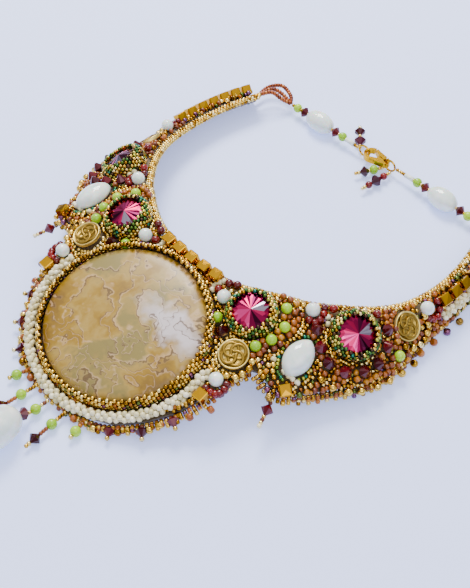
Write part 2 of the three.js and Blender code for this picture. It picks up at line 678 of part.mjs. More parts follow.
// Lobster clasp with its lever, and a ring at each end of it. The clasp lies along X.
const claspFrame = new THREE.Matrix4()
  .makeTranslation(claspPlace.x, armEnd(1).y + claspPlace.behind, claspPlace.z)
  .multiply(new THREE.Matrix4().makeRotationZ(THREE.MathUtils.degToRad(claspPlace.turn)));
function slab(outline, thickness) {
  const geometry = new THREE.ExtrudeGeometry(outline, { depth: thickness, bevelEnabled: false });
  return solidOf(geometry.translate(0, 0, -thickness / 2));
}
function disc(x, y, radius, sides) {
  const outline = new THREE.Shape();
  outline.absarc(x, y, radius, 0, 2 * Math.PI);
  return new THREE.Shape(outline.getPoints(sides / 2).slice(0, -1));
}
const headReach = claspWidth / 2;
const headX = headReach - claspLength / 2;
const tailRadius = ringWire / 2 + clearance + claspWall;
const tailX = claspLength / 2 - tailRadius;
const bow = new THREE.Shape();
bow.absarc(headX, 0, headReach, 0.35 * Math.PI, 1.65 * Math.PI);
bow.absarc(tailX, 0, tailRadius, -0.4 * Math.PI, 0.4 * Math.PI);
const eyeReach = headReach - claspWall;
const eyeEnd = tailX - tailRadius - 1.2 * claspWall;
const eye = new THREE.Shape();
eye.absarc(headX, 0, eyeReach, 0.5 * Math.PI, 1.5 * Math.PI);
eye.lineTo(eyeEnd, -0.4 * eyeReach);
eye.lineTo(eyeEnd, 0.4 * eyeReach);
const hook = slab(new THREE.Shape(bow.getPoints(6)), claspThickness)
  .subtract(slab(new THREE.Shape(eye.getPoints(5)), 2 * claspThickness))
  .subtract(slab(disc(tailX, 0, ringWire / 2 + clearance, 10), 2 * claspThickness));
const hinge = { x: headX + leverLength, y: eyeReach * 0.62 };
const gate = (margin) => {
  const box = new THREE.BoxGeometry(leverLength + 2 * margin, claspWidth, 2 * claspThickness);
  box.translate(headX + leverLength / 2, claspWidth / 2 + 0.2 * eyeReach - margin, 0);
  return solidOf(box);
};
const knuckle = (margin) =>
  slab(disc(hinge.x, hinge.y, knuckleRadius + margin, 12), claspThickness + 2 * margin);
const claspBody = hook.subtract(gate(clearance)).subtract(knuckle(clearance));
const claspLever = hook.intersect(gate(-0.6 * clearance)).add(knuckle(0));
for (const [name, solid] of [["clasp_body", claspBody], ["clasp_lever", claspLever]]) {
  addPiece(name, solid, goldMetal, claspFrame);
}
const ringRadius = ringDiameter / 2;
const hookRingX = headX - eyeReach + ringWire / 2 + clearance - ringRadius;
const tailRingX = tailX + ringRadius;
for (const [name, x] of [["clasp_ring_left", hookRingX], ["clasp_ring_right", tailRingX]]) {
  const wire = new THREE.TorusGeometry(ringRadius, ringWire / 2, 6, 16).rotateX(Math.PI / 2);
  addPiece(name, solidOf(wire.translate(x, 0, 0)), goldMetal, claspFrame);
}

// End loops, strands and charms, which meet the clasp's rings
const ringEnd = ringRadius + ringWire / 2 + clearance;
const strandKinds = ["green", "bicone", "oval", "bicone", "green", "bugle"];
const strandEnds = {
  right: new THREE.Vector3(tailRingX + ringEnd, 0, 0).applyMatrix4(claspFrame),
  left: new THREE.Vector3(hookRingX - ringEnd, 0, 0).applyMatrix4(claspFrame),
};
for (const side of sides) {
  const [start] = fromArmEnd([strandStart], side.sign);
  const arcs = loopArcs.map(({ across, through }) => {
    const leave = plateTop(side.sign, across);
    leave.addScaledVector(plateNormal(side.sign, across), -plateThickness / 2);
    leave.addScaledVector(plateAhead(side.sign, across), side.sign * 2 * clearance);
    const points = [leave, ...fromArmEnd(through, side.sign), start];
    return solidOf(sweep(points, loopWire / 2, 5, 8));
  });
  addPiece(`end_loop_${side.name}`, joined(arcs), seedCopper);
  const end = strandEnds[side.name];
  const heading = end.clone().sub(start).normalize();
  const leave = start.clone().addScaledVector(heading, loopWire / 2 + 1.5 * clearance);
  const rests = [0.25, 0.45, 0.65].map((share) => {
    const spot = leave.clone().lerp(end, share);
    spot.z = ovalWidth / 2 + 0.1;
    return spot;
  });
  addPiece(`strand_${side.name}`, strung([leave, ...rests, end], strandKinds, 1), whiteGlass);
}
for (const charm of charms) {
  const angle = THREE.MathUtils.degToRad(charm.angle);
  const heading = THREE.MathUtils.degToRad(charm.heading);
  const ringX = charm.end === "left" ? hookRingX : tailRingX;
  const start = new THREE.Vector3(ringX + ringRadius * Math.cos(angle), 0, ringRadius * Math.sin(angle));
  start.applyMatrix4(claspFrame);
  const away = new THREE.Vector3(Math.cos(heading), Math.sin(heading), 0);
  start.addScaledVector(away, ringWire / 2 + 1.5 * clearance);
  const end = start.clone().addScaledVector(away, charm.length);
  end.z = crystalSize / 2 + clearance / 3;
  addPiece(`charm_${charm.name}`, strung([start, end], charmBeads[charm.name], charm.lead), garnetGlass);
}

necklace.updateMatrixWorld(true);
const reach = new THREE.Box3().setFromObject(necklace, true);
const centre = reach.getCenter(new THREE.Vector3());
necklace.position.set(-centre.x, -centre.y, -reach.min.z);
export default necklace;
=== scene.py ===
import bpy
import bmesh
from math import copysign, cos, hypot, pi, radians, sin
import numpy as np
from mathutils import Matrix, Vector


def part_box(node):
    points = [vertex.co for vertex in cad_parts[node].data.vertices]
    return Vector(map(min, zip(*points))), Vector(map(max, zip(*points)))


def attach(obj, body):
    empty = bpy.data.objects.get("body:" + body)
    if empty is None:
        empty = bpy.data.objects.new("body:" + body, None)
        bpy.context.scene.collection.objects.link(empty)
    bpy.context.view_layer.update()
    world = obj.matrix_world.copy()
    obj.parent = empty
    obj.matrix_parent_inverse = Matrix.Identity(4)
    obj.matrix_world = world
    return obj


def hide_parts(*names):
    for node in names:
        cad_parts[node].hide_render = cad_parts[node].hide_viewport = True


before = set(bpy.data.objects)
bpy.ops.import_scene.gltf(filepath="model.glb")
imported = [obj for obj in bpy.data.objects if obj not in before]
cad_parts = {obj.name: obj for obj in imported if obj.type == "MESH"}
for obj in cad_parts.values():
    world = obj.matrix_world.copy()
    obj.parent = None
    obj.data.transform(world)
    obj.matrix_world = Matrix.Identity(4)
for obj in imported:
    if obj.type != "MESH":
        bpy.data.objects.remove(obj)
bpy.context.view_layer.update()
rng = np.random.default_rng(11)
mm = 0.001


# Colours and materials
def linear(colour):
    # an sRGB hex colour as linear RGBA
    values = [int(colour[k:k + 2], 16) / 255 for k in (1, 3, 5)]
    return [v / 12.92 if v <= 0.04045 else ((v + 0.055) / 1.055) ** 2.4 for v in values] + [1.0]


def addNode(tree, kind, settings=None, **links):
    # one shader node with its settings and links; i0, i1 name inputs by number
    made = tree.nodes.new("ShaderNode" + kind)
    for key, value in (settings or {}).items():
        if isinstance(key, int) or key in made.inputs:
            made.inputs[key].default_value = value
        else:
            setattr(made, key, value)
    for key, source in links.items():
        tree.links.new(source, made.inputs[int(key[1:]) if key[1:].isdigit() else key])
    return made


def vectorMath(tree, operation, first, second=None, **settings):
    # a vector operation on two sources, where the second may be a constant
    constant = isinstance(second, (tuple, list))
    links = {} if constant or second is None else {"i1": second}
    given = {1: second} if constant else settings
    return addNode(tree, "VectorMath", {"operation": operation, **given}, i0=first, **links).outputs


def ramp(tree, factor, stops, interpolation="LINEAR"):
    made = addNode(tree, "ValToRGB", Fac=factor)
    made.color_ramp.interpolation = interpolation
    elements = made.color_ramp.elements
    while len(elements) < len(stops):
        elements.new(0.5)
    for element, (place, colour) in zip(elements, stops):
        element.position = place
        element.color = linear(colour)
    return made.outputs["Color"]


def newMaterial(name, **settings):
    material = bpy.data.materials.new(name)
    material.use_nodes = True
    tree = material.node_tree
    shader = tree.nodes["Principled BSDF"]
    for key, value in settings.items():
        value = linear(value) if isinstance(value, str) else value
        shader.inputs[key.replace("_", " ")].default_value = value
    return material, tree, shader


def blended(tree, factor, below, above):
    # one colour laid over another; the one above may be a hex colour
    mixed = addNode(tree, "Mix", {"data_type": "RGBA"}, Factor=factor)
    tree.links.new(below, mixed.inputs[6])
    if isinstance(above, str):
        mixed.inputs[7].default_value = linear(above)
    else:
        tree.links.new(above, mixed.inputs[7])
    return mixed.outputs[2]


def perBead(name, colours, **settings):
    # a glaze whose colour is drawn once for each bead, from a list in one string
    colours = colours.split()
    material, tree, shader = newMaterial(name, **settings)
    island = addNode(tree, "NewGeometry").outputs["Random Per Island"]
    stops = [(k / len(colours), colour) for k, colour in enumerate(colours)]
    tree.links.new(ramp(tree, island, stops, "CONSTANT"), shader.inputs["Base Color"])
    return material


def pick(choices):
    return choices[int(rng.integers(len(choices)))]


glazes = {
    # galvanised gold seed beads
    "gold": perBead("galvanisedGoldSeeds", "#D8AC44 #E6C260 #AE8222 #EFD78E #8C6214 #E0B84E",
        Metallic=1.0, Roughness=0.15),
    # pale champagne gold seed beads
    "pale": perBead("champagneGoldSeeds", "#E8CE7E #DDBE62 #F2E0A6 #CFAE50",
        Metallic=0.9, Roughness=0.18),
    # orange and rust coated seed beads, a soft satin
    "copper": perBead("rustOrangeSeeds", "#9A5000 #AC6400 #7E3C00 #B47400 #8A4400 #662800",
        Roughness=0.32, Coat_Weight=0.15),
    # copper lined seeds of the end loops
    "loop": perBead("copperLinedSeeds", "#8A431C #A2552A #74361A #B06A34",
        Metallic=0.55, Roughness=0.28),
    # bronze iris seed beads with green and purple casts
    "iris": perBead("bronzeIrisSeeds", "#8A6A24 #5A6A30 #B48E36 #7A4A66 #9A7630 #6A6A34 #A0622A #6E4A70",
        Metallic=0.9, Roughness=0.18),
    # metallic green iris seed beads
    "leaf": perBead("greenIrisSeeds", "#5E7A2A #3C6430 #A8A83C #1E6E58 #C8BC52 #46601E",
        Metallic=0.8, Roughness=0.18),
    # opaque cream seed beads with a lustre glaze
    "cream": perBead("creamLustreSeeds", "#EDE2B8 #DACE9C #F4EBC8 #CCC08C #E6DBB0",
        Roughness=0.25, Coat_Weight=0.25),
    # transparent siam red rounds, dark in the body
    "siam": perBead("siamRedGlass", "#640000 #780200 #500000", Roughness=0.12),
    # dark bronze seed beads
    "dark": perBead("darkBronzeSeeds", "#4A3420 #5E452A #38281A", Metallic=0.8, Roughness=0.2),
    # garnet cut crystal
    "garnet": perBead("garnetCutCrystal", "#4C030C #360208 #5C0814 #400310",
        Metallic=0.2, Roughness=0.08),
    # amethyst cut crystal
    "amethyst": perBead("amethystCutCrystal", "#3A0A1E #4E1228 #280616",
        Metallic=0.25, Roughness=0.06),
    # opaque lime green glass rounds
    "green": perBead("limeGlassRounds", "#98C40C #8CBA0A #A4CC18", Roughness=0.25,
        Subsurface_Weight=0.2, Subsurface_Scale=0.001),
    # frosted glass bugles
    "frost": newMaterial("frostedGlassBugles", Base_Color="#E6EBE2", Roughness=0.35)[0],
    # gold plated brass castings
    "plate": newMaterial("goldPlatedBrass", Base_Color="#C8980C", Metallic=1.0, Roughness=0.14)[0],
    # bright gold plated cubes
    "cube": newMaterial("brightGoldCubes", Base_Color="#C08C0C", Metallic=1.0, Roughness=0.12)[0],
}
# foiled crystal in its own rose colour, each facet given a fixed tone of painted light: bright pink painted
# glints, grey painted sky reflections, and rose, wine and plum as the crystal's colour in deepening painted
# shade
rivoliFacetLightTones = {"rose": "#A01848 #86123A #B02054", "bright": "#E0508A #CC3A78",
        "wine": "#660C32 #7A123C", "plum": "#3E0C26 #2E081C",
        "grey": "#8E8292 #72667A"}
for tone, colours in rivoliFacetLightTones.items():
    glazes[tone] = perBead(tone + "CrystalFacetPaintedLight", colours, Metallic=1.0, Roughness=0.12)


def opalGlass():
    # milky white pressed glass with a faint cloud in it
    material, tree, shader = newMaterial("milkyWhiteGlass", Roughness=0.07, IOR=1.5, Coat_Weight=0.6,
            Subsurface_Weight=0.5, Subsurface_Scale=0.002)
    where = addNode(tree, "TexCoord").outputs["Object"]
    cloud = addNode(tree, "TexNoise", {"Scale": 260.0, "Detail": 3.0}, Vector=where)
    tint = ramp(tree, cloud.outputs["Fac"], [(0.3, "#CFDDD6"), (0.7, "#F1F5EF")])
    tree.links.new(tint, shader.inputs["Base Color"])
    return material


def crazyLaceAgate(milkyPlace):
    # satin polished agate: ochre and olive tan, jagged brown lace lines with pinkish halos, a milky cloud
    material, tree, shader = newMaterial("crazyLaceAgate", Roughness=0.34)
    where = addNode(tree, "TexCoord").outputs["Object"]
    wiggle = addNode(tree, "TexNoise", {"Scale": 190.0, "Detail": 2.5, "Roughness": 0.55}, Vector=where)
    centred = vectorMath(tree, "SUBTRACT", wiggle.outputs["Color"], (0.5, 0.5, 0.5))[0]
    small = vectorMath(tree, "SCALE", centred, Scale=0.011)[0]
    moved = vectorMath(tree, "ADD", where, small)[0]
    stretched = addNode(tree, "Mapping", {"Scale": (0.8, 1.3, 1.0), "Rotation": (0, 0, -0.9)},
            Vector=moved).outputs[0]
    field = addNode(tree, "TexNoise", {"Scale": 52.0, "Detail": 0.6, "Distortion": 0.7}, Vector=stretched)
    levels = addNode(tree, "Math", {"operation": "MULTIPLY", 1: 7.5}, i0=field.outputs["Fac"])
    band = addNode(tree, "Math", {"operation": "FRACT"}, i0=levels.outputs[0]).outputs[0]
    patches = addNode(tree, "TexNoise", {"Scale": 62.0, "Detail": 3.0}, Vector=moved)
    tone = ramp(tree, patches.outputs["Fac"],
            [(0.36, "#785808"), (0.45, "#8E6C0A"), (0.54, "#A08238"), (0.64, "#7E6E34")])
    halo = ramp(tree, band, [(0.06, "#000000"), (0.1, "#C8C8C8"), (0.18, "#909090"), (0.3, "#101010"),
            (0.9, "#000000"), (1.0, "#606060")])
    line = ramp(tree, band, [(0.0, "#F0F0F0"), (0.065, "#E0E0E0"), (0.12, "#000000"), (0.7, "#000000"),
            (1.0, "#707070")])
    milky = vectorMath(tree, "SUBTRACT", moved, milkyPlace)[0]
    squeezed = addNode(tree, "Mapping", {"Rotation": (0, 0, -0.72), "Scale": (0.8, 2.3, 0.3)},
            Vector=milky)
    reach = vectorMath(tree, "LENGTH", squeezed.outputs[0])["Value"]
    milk = addNode(tree, "MapRange",
            {"From Min": 0.006, "From Max": 0.0145, "To Min": 0.85, "To Max": 0.0},
            Value=reach).outputs[0]
    colour = tone
    for amount, layer in ((halo, "#CBA682"), (milk, "#C9BFC4"), (line, "#553C22")):
        colour = blended(tree, amount, colour, layer)
    tree.links.new(colour, shader.inputs["Base Color"])
    return material


def antiqueBrass():
    # cast brass, dark in the hollows
    material, tree, shader = newMaterial("antiqueBrass", Metallic=0.85, Roughness=0.36)
    noise = addNode(tree, "TexNoise", {"Scale": 900.0, "Detail": 4.0},
            Vector=addNode(tree, "TexCoord").outputs["Object"])
    point = addNode(tree, "NewGeometry").outputs["Pointiness"]
    worn = addNode(tree, "MapRange", {"From Min": 0.44, "From Max": 0.54}, Value=point)
    both = addNode(tree, "Math", {"operation": "MULTIPLY_ADD", 1: 0.35}, i0=noise.outputs["Fac"])
    tree.links.new(worn.outputs[0], both.inputs[2])
    tree.links.new(ramp(tree, both.outputs[0], [(0.3, "#8E7026"), (0.55, "#C0A044"), (0.95, "#E2C872")]),
            shader.inputs["Base Color"])
    return material


def suede():
    # dark brown napped suede below; above, the woven bead foundation, its tan darkened as painted shade for
    # the gaps between beads
    material, tree, shader = newMaterial("brownSuede", Roughness=0.95, Sheen_Weight=0.5)
    where = addNode(tree, "TexCoord").outputs["Object"]
    nap = addNode(tree, "TexNoise", {"Scale": 2200.0, "Detail": 5.0}, Vector=where)
    leather = ramp(tree, nap.outputs["Fac"], [(0.3, "#33231A"), (0.7, "#5A4130")])
    # the foundation colour, darkened to stand as painted shade in the gaps between the beads
    foundationGapShade = ramp(tree, nap.outputs["Fac"], [(0.3, "#3E2E1A"), (0.7, "#66522E")])
    facing = addNode(tree, "SeparateXYZ", Vector=addNode(tree, "NewGeometry").outputs["Normal"])
    upper = addNode(tree, "Math", {"operation": "GREATER_THAN", 1: 0.5}, i0=facing.outputs["Z"])
    tree.links.new(blended(tree, upper.outputs[0], leather, foundationGapShade), shader.inputs["Base Color"])
    bump = addNode(tree, "Bump", {"Strength": 0.5, "Distance": 0.0002}, Height=nap.outputs["Fac"])
    tree.links.new(bump.outputs["Normal"], shader.inputs["Normal"])
    return material


glazes["opal"] = opalGlass()
glazes["brass"] = antiqueBrass()
glazes["suede"] = suede()
print("materials made")

# The collar's surface, as the CAD part has it
collar = {
    "neck": (62.5, 100.0, 20.6), "edge": (72.0, 61.5), "edging": 2.7,
    "neckX": [0, .12, .23, .33, .41, .49, .57, .64, .715, .79, .865, .93, .975, 1, .995, .965, .92],
    "neckY": [.03, .032, .038, .055, .075, .105, .14, .17, .215, .265, .325, .395, .475, .59, .71, .82, .92],
    "neckZ": [.965, .967, .985, 1.01, 1.035, 1.03, .99, .945, .905, .86, .79, .715, .66, .61, .58, .56, .54],
    "edgeX": [0, .26, .43, .535, .57, .62, .735, .83, .9, .975, 1, .99, .98, .98, .965, .935, .885],
    "edgeY": [-1, -.955, -.79, -.58, -.36, -.21, -.22, -.12, .02, .13, .25, .365, .46, .58, .71, .83, .945],
    "edgeZ": [.09, .13, .27, .46, .64, .7, .56, .46, .37, .27, .2, .15, .13, .12, .11, .11, .11],
    "crown": [0, 0, 0, 0, .01, .02, .04, .06, .08, .1, .1, .09, .09, .09, .08, .07, .06],
}


def guide(points):
    # centripetal curve through the points and their mirror images, as a function of a share
    left = points[1:][::-1] * [-1, 1, 1]
    knots = np.vstack([left, points])
    knots = np.vstack([2 * knots[0] - knots[1], knots, 2 * knots[-1] - knots[-2]])
    last = len(knots) - 3

    def at(share):
        place = np.clip(np.asarray(share, float), 0, 1) * last
        low = np.minimum(place.astype(int), last - 1)
        w = (place - low)[..., None]
        a, b, c, d = (knots[low + k] for k in range(4))
        gap = lambda p, q: np.maximum(np.sum((p - q) ** 2, axis=-1) ** 0.25, 1e-4)[..., None]
        g0, g1, g2 = gap(a, b), gap(b, c), gap(c, d)
        t1 = ((b - a) / g0 - (c - a) / (g0 + g1) + (c - b) / g1) * g1
        t2 = ((c - b) / g1 - (d - b) / (g1 + g2) + (d - c) / g2) * g1
        return b + t1 * w + (3 * (c - b) - 2 * t1 - t2) * w ** 2 + (2 * (b - c) + t1 + t2) * w ** 3
    return at


neckWide, neckLong, neckRise = collar["neck"]
edgeWide, edgeDrop = collar["edge"]
edgeReach = [y * (edgeDrop if y < 0 else neckLong) for y in collar["edgeY"]]
neckLine = guide(np.c_[np.array(collar["neckX"]) * neckWide, np.array(collar["neckY"]) * neckLong,
        np.array(collar["neckZ"]) * neckRise])
edgeLine = guide(np.c_[np.array(collar["edgeX"]) * edgeWide, edgeReach, np.array(collar["edgeZ"]) * neckRise])


def plateTop(along, across):
    along, across = np.broadcast_arrays(np.asarray(along, float), np.asarray(across, float))
    inner, outer = neckLine((along + 1) / 2), edgeLine((along + 1) / 2)
    out = outer - inner
    out /= np.linalg.norm(out, axis=-1, keepdims=True)
    inner = inner + out * collar["edging"]
    point = inner + (outer - inner) * across[..., None]
    rows = np.abs(along) * (len(collar["crown"]) - 1)
    crown = np.interp(rows, range(len(collar["crown"])), collar["crown"]) * neckRise
    point[..., 2] += crown * 4 * across * (1 - across)
    return point


def unit(v):
    return v / np.linalg.norm(v, axis=-1, keepdims=True)


def plateAxes(along, across):
    # ahead along the collar, out across it, and the normal, at each place
    along, across, h = np.asarray(along), np.asarray(across), 0.006
    ahead = unit(plateTop(np.minimum(along + h, 1), across) - plateTop(np.maximum(along - h, -1), across))
    out = unit(plateTop(along, across + h) - plateTop(along, across - h))
    normal = unit(np.cross(out, ahead))
    return ahead, np.cross(ahead, normal), normal


def seatFrame(along, across, lift=0.0, lean=0.0, turn=0.0, sign=1):
    # 4x4 frame in millimetres: X ahead, Z off the plate
    ahead, out, normal = plateAxes(along * sign, across)
    ahead = unit(ahead - normal * ahead.dot(normal))
    spot = plateTop(along * sign, across) + normal * lift
    place = Matrix.Identity(4)
    for k, axis in enumerate((ahead, np.cross(normal, ahead), normal, spot)):
        for r in range(3):
            place[r][k] = axis[r]
    leaned = place @ Matrix.Rotation(radians(lean), 4, "X")
    return np.array(leaned @ Matrix.Rotation(radians(turn * sign), 4, "Z"))


low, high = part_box("cube_front_3")
shift = np.array((low + high) / 2) / mm - seatFrame(0, -0.015, 2.7)[:3, 3]
print("collar surface ready, shift", np.round(shift, 3))


def ringed(verts, rows, sides, smooth=True):
    # rings of points joined by four sided faces, and closed at both ends
    faces = []
    for row in range(rows - 1):
        for k in range(sides):
            a, b = row * sides + k, row * sides + (k + 1) % sides
            faces.append((a, b, b + sides, a + sides))
    faces.append(tuple(range(sides))[::-1])
    faces.append(tuple(range((rows - 1) * sides, rows * sides)))
    return {"verts": np.array(verts, float), "faces": faces, "smooth": smooth}


# Bead shapes: diameter 1, hole along Z, length 1
def turnedShape(profile, sides, flat=False):
    verts = []
    for radius, height in profile:
        for k in range(sides):
            angle = 2 * pi * k / sides
            verts.append((radius * cos(angle), radius * sin(angle), height))
    return ringed(verts, len(profile), sides, not flat)


def ball(sides, rows, fullness=1.0):
    angles = np.linspace(-pi / 2 + 0.16, pi / 2 - 0.16, rows)
    return turnedShape([(0.5 * cos(a) ** fullness, 0.5 * sin(a)) for a in angles], sides)


def cubeShape():
    # edges worn round, and each face a very low pyramid, as these pressed cubes have
    flat, half, crown = 0.43, 0.5, 0.522
    corners = [(x, y) for x in (-flat, flat) for y in (-flat, flat)]
    points = []
    for end in (-1, 1):
        for x, y in corners:
            points += [(x, y, half * end), (x, half * end, y), (half * end, x, y)]
        points += [(0, 0, crown * end), (0, crown * end, 0), (crown * end, 0, 0)]
    made = bmesh.new()
    for point in points:
        made.verts.new(point)
    bmesh.ops.convex_hull(made, input=made.verts)
    bmesh.ops.dissolve_limit(made, angle_limit=0.02, verts=made.verts, edges=made.edges)
    made.verts.ensure_lookup_table()
    verts = np.array([v.co for v in made.verts])
    faces = [tuple(v.index for v in face.verts) for face in made.faces]
    made.free()
    return {"verts": verts, "faces": faces, "smooth": False}


shapes = {
    "seed": turnedShape([(.2, -.42), (.36, -.5), (.5, -.24), (.5, .24), (.36, .5), (.2, .42)], 8),
    "round": ball(16, 10),
    "bicone": turnedShape([(.1, -.5), (.26, -.3), (.5, 0), (.26, .3), (.1, .5)], 8, flat=True),
    "pearl": ball(9, 6),
    "oval": ball(24, 14, 0.85),
    "bugle": turnedShape([(.3, -.5), (.5, -.48), (.5, .48), (.3, .5)], 10),
    "cube": cubeShape(),
}


class Piece:
    # beads and other meshes gathered into one joined mesh

    def __init__(self, name):
        self.name, self.parts, self.materials = name, [], []

    def add(self, shape, glaze, place):
        # place: 4x4 in millimetres of the unit shape, or an N x 4 x 4 array
        shape = shapes[shape] if isinstance(shape, str) else shape
        if glaze not in self.materials:
            self.materials.append(glaze)
        places = np.asarray(place, float).reshape(-1, 4, 4)
        self.parts.append((shape, self.materials.index(glaze), places))

    def bead(self, kind, glaze, spot, axis, width, length=None):
        self.add(kind, glaze, beadPlace(spot, axis, width, length or width))

    def build(self, slot, *nodes):
        verts, loops, totals, mats, smooth, base = [], [], [], [], [], 0
        for shape, index, places in self.parts:
            own = np.c_[shape["verts"], np.ones(len(shape["verts"]))]
            count = len(places)
            verts.append((own @ places.transpose(0, 2, 1))[..., :3].reshape(-1, 3))
            flatFaces = np.concatenate([np.array(f) for f in shape["faces"]])
            lengths = np.array([len(f) for f in shape["faces"]])
            offsets = base + np.arange(count) * len(shape["verts"])
            loops.append((flatFaces[None, :] + offsets[:, None]).ravel())
            totals.append(np.tile(lengths, count))
            mats.append(np.full(count * len(lengths), index))
            smooth.append(np.full(count * len(lengths), shape["smooth"]))
            base += count * len(shape["verts"])
        verts = (np.vstack(verts) + shift) * mm
        loops, totals = np.concatenate(loops), np.concatenate(totals)
        mesh = bpy.data.meshes.new(self.name)
        mesh.vertices.add(len(verts))
        mesh.loops.add(len(loops))
        mesh.polygons.add(len(totals))
        starts, smooth = np.r_[0, np.cumsum(totals)[:-1]], np.concatenate(smooth)
        for data, key, values, kind in (
                (mesh.vertices, "co", verts, np.float32), (mesh.loops, "vertex_index", loops, np.int32),
                (mesh.polygons, "loop_start", starts, np.int32),
                (mesh.polygons, "loop_total", totals, np.int32),
                (mesh.polygons, "material_index", np.concatenate(mats), np.int32),
                (mesh.polygons, "use_smooth", smooth, bool)):
            data.foreach_set(key, values.astype(kind).ravel())
        mesh.update(calc_edges=True)
        mesh.validate()
        for glaze in self.materials:
            mesh.materials.append(glazes[glaze])
        made = bpy.data.objects.new(self.name, mesh)
        bpy.context.scene.collection.objects.link(made)
        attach(made, "necklace")
        if nodes:
            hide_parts(*nodes)
        return made


def beadPlace(spot, axis, width, length):
    z = unit(np.asarray(axis, float))
    x = unit(np.cross([0.31, 0.17, 0.93] if abs(z[2]) < 0.8 else [1, 0.1, 0], z))
    y = np.cross(z, x)
    place = np.eye(4)
    place[:3, 0], place[:3, 1], place[:3, 2], place[:3, 3] = x * width, y * width, z * length, spot
    return place


# seed bead sizes in millimetres: width, and length along the hole
seed15, seed11 = (1.5, 1.15), (2.1, 1.6)
sides = [("right", 1), ("left", -1)]
# share along, share across, lift, lean and turn in degrees
seats = {
    "agate": (0, 0.492, 1.2, 1.5, 0),
    "rivoliFront": (0.262, 0.268, 4.2, 5, 0), "rivoliSide": (0.556, 0.405, 3.9, 9, 0),
    "coinFront": (0.25, 0.748, 1.9, 6, 0), "coinSide": (0.69, 0.47, 0.9, 3, 0),
    "navette": (0.423, 0.636, 0.9, 0, 57),
    "whiteNeck": (0.155, 0.1, 3.1, 0, 0), "whiteInner": (0.45, 0.066, 2.9, 0, 0),
    "whiteLobe": (0.23, 0.957, 2.9, 0, 0), "whiteArm": (0.759, 0.286, 2.9, 0, 0),
    "cubeNotch": (0.401, 1, 2.8, 0, 20), "cubeLobe": (0.208, 1.02, 2.6, 0, 10),
}


def seatOf(name, sign=1):
    along, across, lift, lean, turn = seats[name]
    return seatFrame(along, across, lift, lean, turn, sign)


def peyote(piece, seat, wall, size, glazeOf, stretch=1.0):
    # peyote stitch: columns of beads up a wall, every second column half a bead higher
    width, length = size
    wall = np.array(wall, float)
    run = np.r_[0, np.cumsum(np.linalg.norm(np.diff(wall, axis=0), axis=1))]
    rows = int(run[-1] / (width * 0.5)) + 1
    pairs = int(pi * wall[:, 0].max() * (1 + stretch) / (2 * length * 1.06))
    for row in range(rows):
        at = run[-1] * row / (rows - 1)
        radius, height = np.interp(at, run, wall[:, 0]), np.interp(at, run, wall[:, 1])
        for k in range(pairs):
            t = 2 * pi * (k + 0.5 * (row % 2)) / pairs
            spot = seat @ [radius * stretch * cos(t), radius * sin(t), height, 1]
            axis = seat[:3, :3] @ [-stretch * sin(t), cos(t), 0]
            piece.bead("seed", glazeOf(row, rows), spot[:3], axis, width, length)


# Agate, its bezel and the cream rope
agate = {"width": 61.0, "length": 56.8, "height": 5.4, "lip": 3.3}


def agateGlaze(row, rows):
    if row >= rows - 2:
        return "gold"
    return "iris" if rng.random() < (0.6 if row < rows - 4 else 0.35) else "gold"


def buildAgate():
    seat = seatOf("agate")
    stretch = agate["width"] / agate["length"]
    half = agate["length"] / 2
    lip, top = agate["lip"], agate["height"]
    profile = [(0.97, 0), (1.0, 0.2 * lip), (0.995, 0.5 * lip), (0.985, 0.7 * lip), (0.97, 0.88 * lip)]
    for k in range(1, 13):
        t = k / 12
        profile.append((0.965 * (1 - t) + 0.002, lip + (top - lip) * (1 - (1 - t) ** 2.3)))
    verts, around = [], 96
    for share, height in profile:
        for k in range(around):
            a = 2 * pi * k / around
            verts.append((share * half * stretch * cos(a), share * half * sin(a), height))
    milky = (seat @ [15.5, 9.5, 5, 1])[:3]
    glazes["agate"] = crazyLaceAgate(list((milky + shift) * mm))
    stone = Piece("agateCabochon")
    stone.add(ringed(verts, len(profile), around), "agate", seat)
    stone.build("agate", "agate")
    bezel = Piece("agateBezelBeads")
    wall = [(half + 1.45, 0.1), (half + 1.4, 3.0), (half + 0.9, 3.9), (half + 0.25, 4.35)]
    peyote(bezel, seat, wall, (1.5, 1.25), agateGlaze, stretch)
    bezel.build("bronze_beads", "agate_bezel")


def sampled(points, step):
    # points spaced evenly by step along a smooth line, with the tangents
    points = np.asarray(points, float)
    ends = np.vstack([2 * points[0] - points[1], points, 2 * points[-1] - points[-2]])
    fine = []
    for k in range(len(points) - 1):
        a, b, c, d = ends[k:k + 4]
        for t in np.arange(0, 1, 1 / 12):
            bend, twist = 2 * a - 5 * b + 4 * c - d, 3 * b - a - 3 * c + d
            fine.append(0.5 * (2 * b + (c - a) * t + bend * t * t + twist * t ** 3))
    fine.append(points[-1])
    fine = np.array(fine)
    run = np.r_[0, np.cumsum(np.linalg.norm(np.diff(fine, axis=0), axis=1))]
    count = max(int(run[-1] / step), 1)
    places = (np.arange(count) + 0.5) / count * run[-1]
    at = lambda s: np.c_[tuple(np.interp(s, run, fine[:, k]) for k in range(3))]
    return at(places), unit(at(places + 0.3) - at(places - 0.3))


def twistedRope(piece, points, diameter, glaze, width, pitch, strands=3):
    # strands of seed beads twisted round each other
    fineness = 0.25
    spots, ahead = sampled(points, fineness)
    reach = diameter / 2 - width / 2
    climb = hypot(2 * pi * reach, pitch) / pitch
    step = max(int(round(width / climb / fineness)), 1)
    for strand in range(strands):
        for n in range(strand, len(spots), step):
            spot, axis = spots[n], ahead[n]
            side = unit(np.cross(axis, [0, 0, 1]))
            up = np.cross(side, axis)
            t = 2 * pi * (strand / strands + n * fineness / pitch)
            off = side * cos(t) + up * sin(t)
            around = up * cos(t) - side * sin(t)
            wobble = 1 + 0.08 * rng.normal()
            lean = axis + around * (2 * pi * reach / pitch)
            piece.bead("pearl", glaze, spot + off * reach * wobble, lean, width * wobble, width * 0.9)


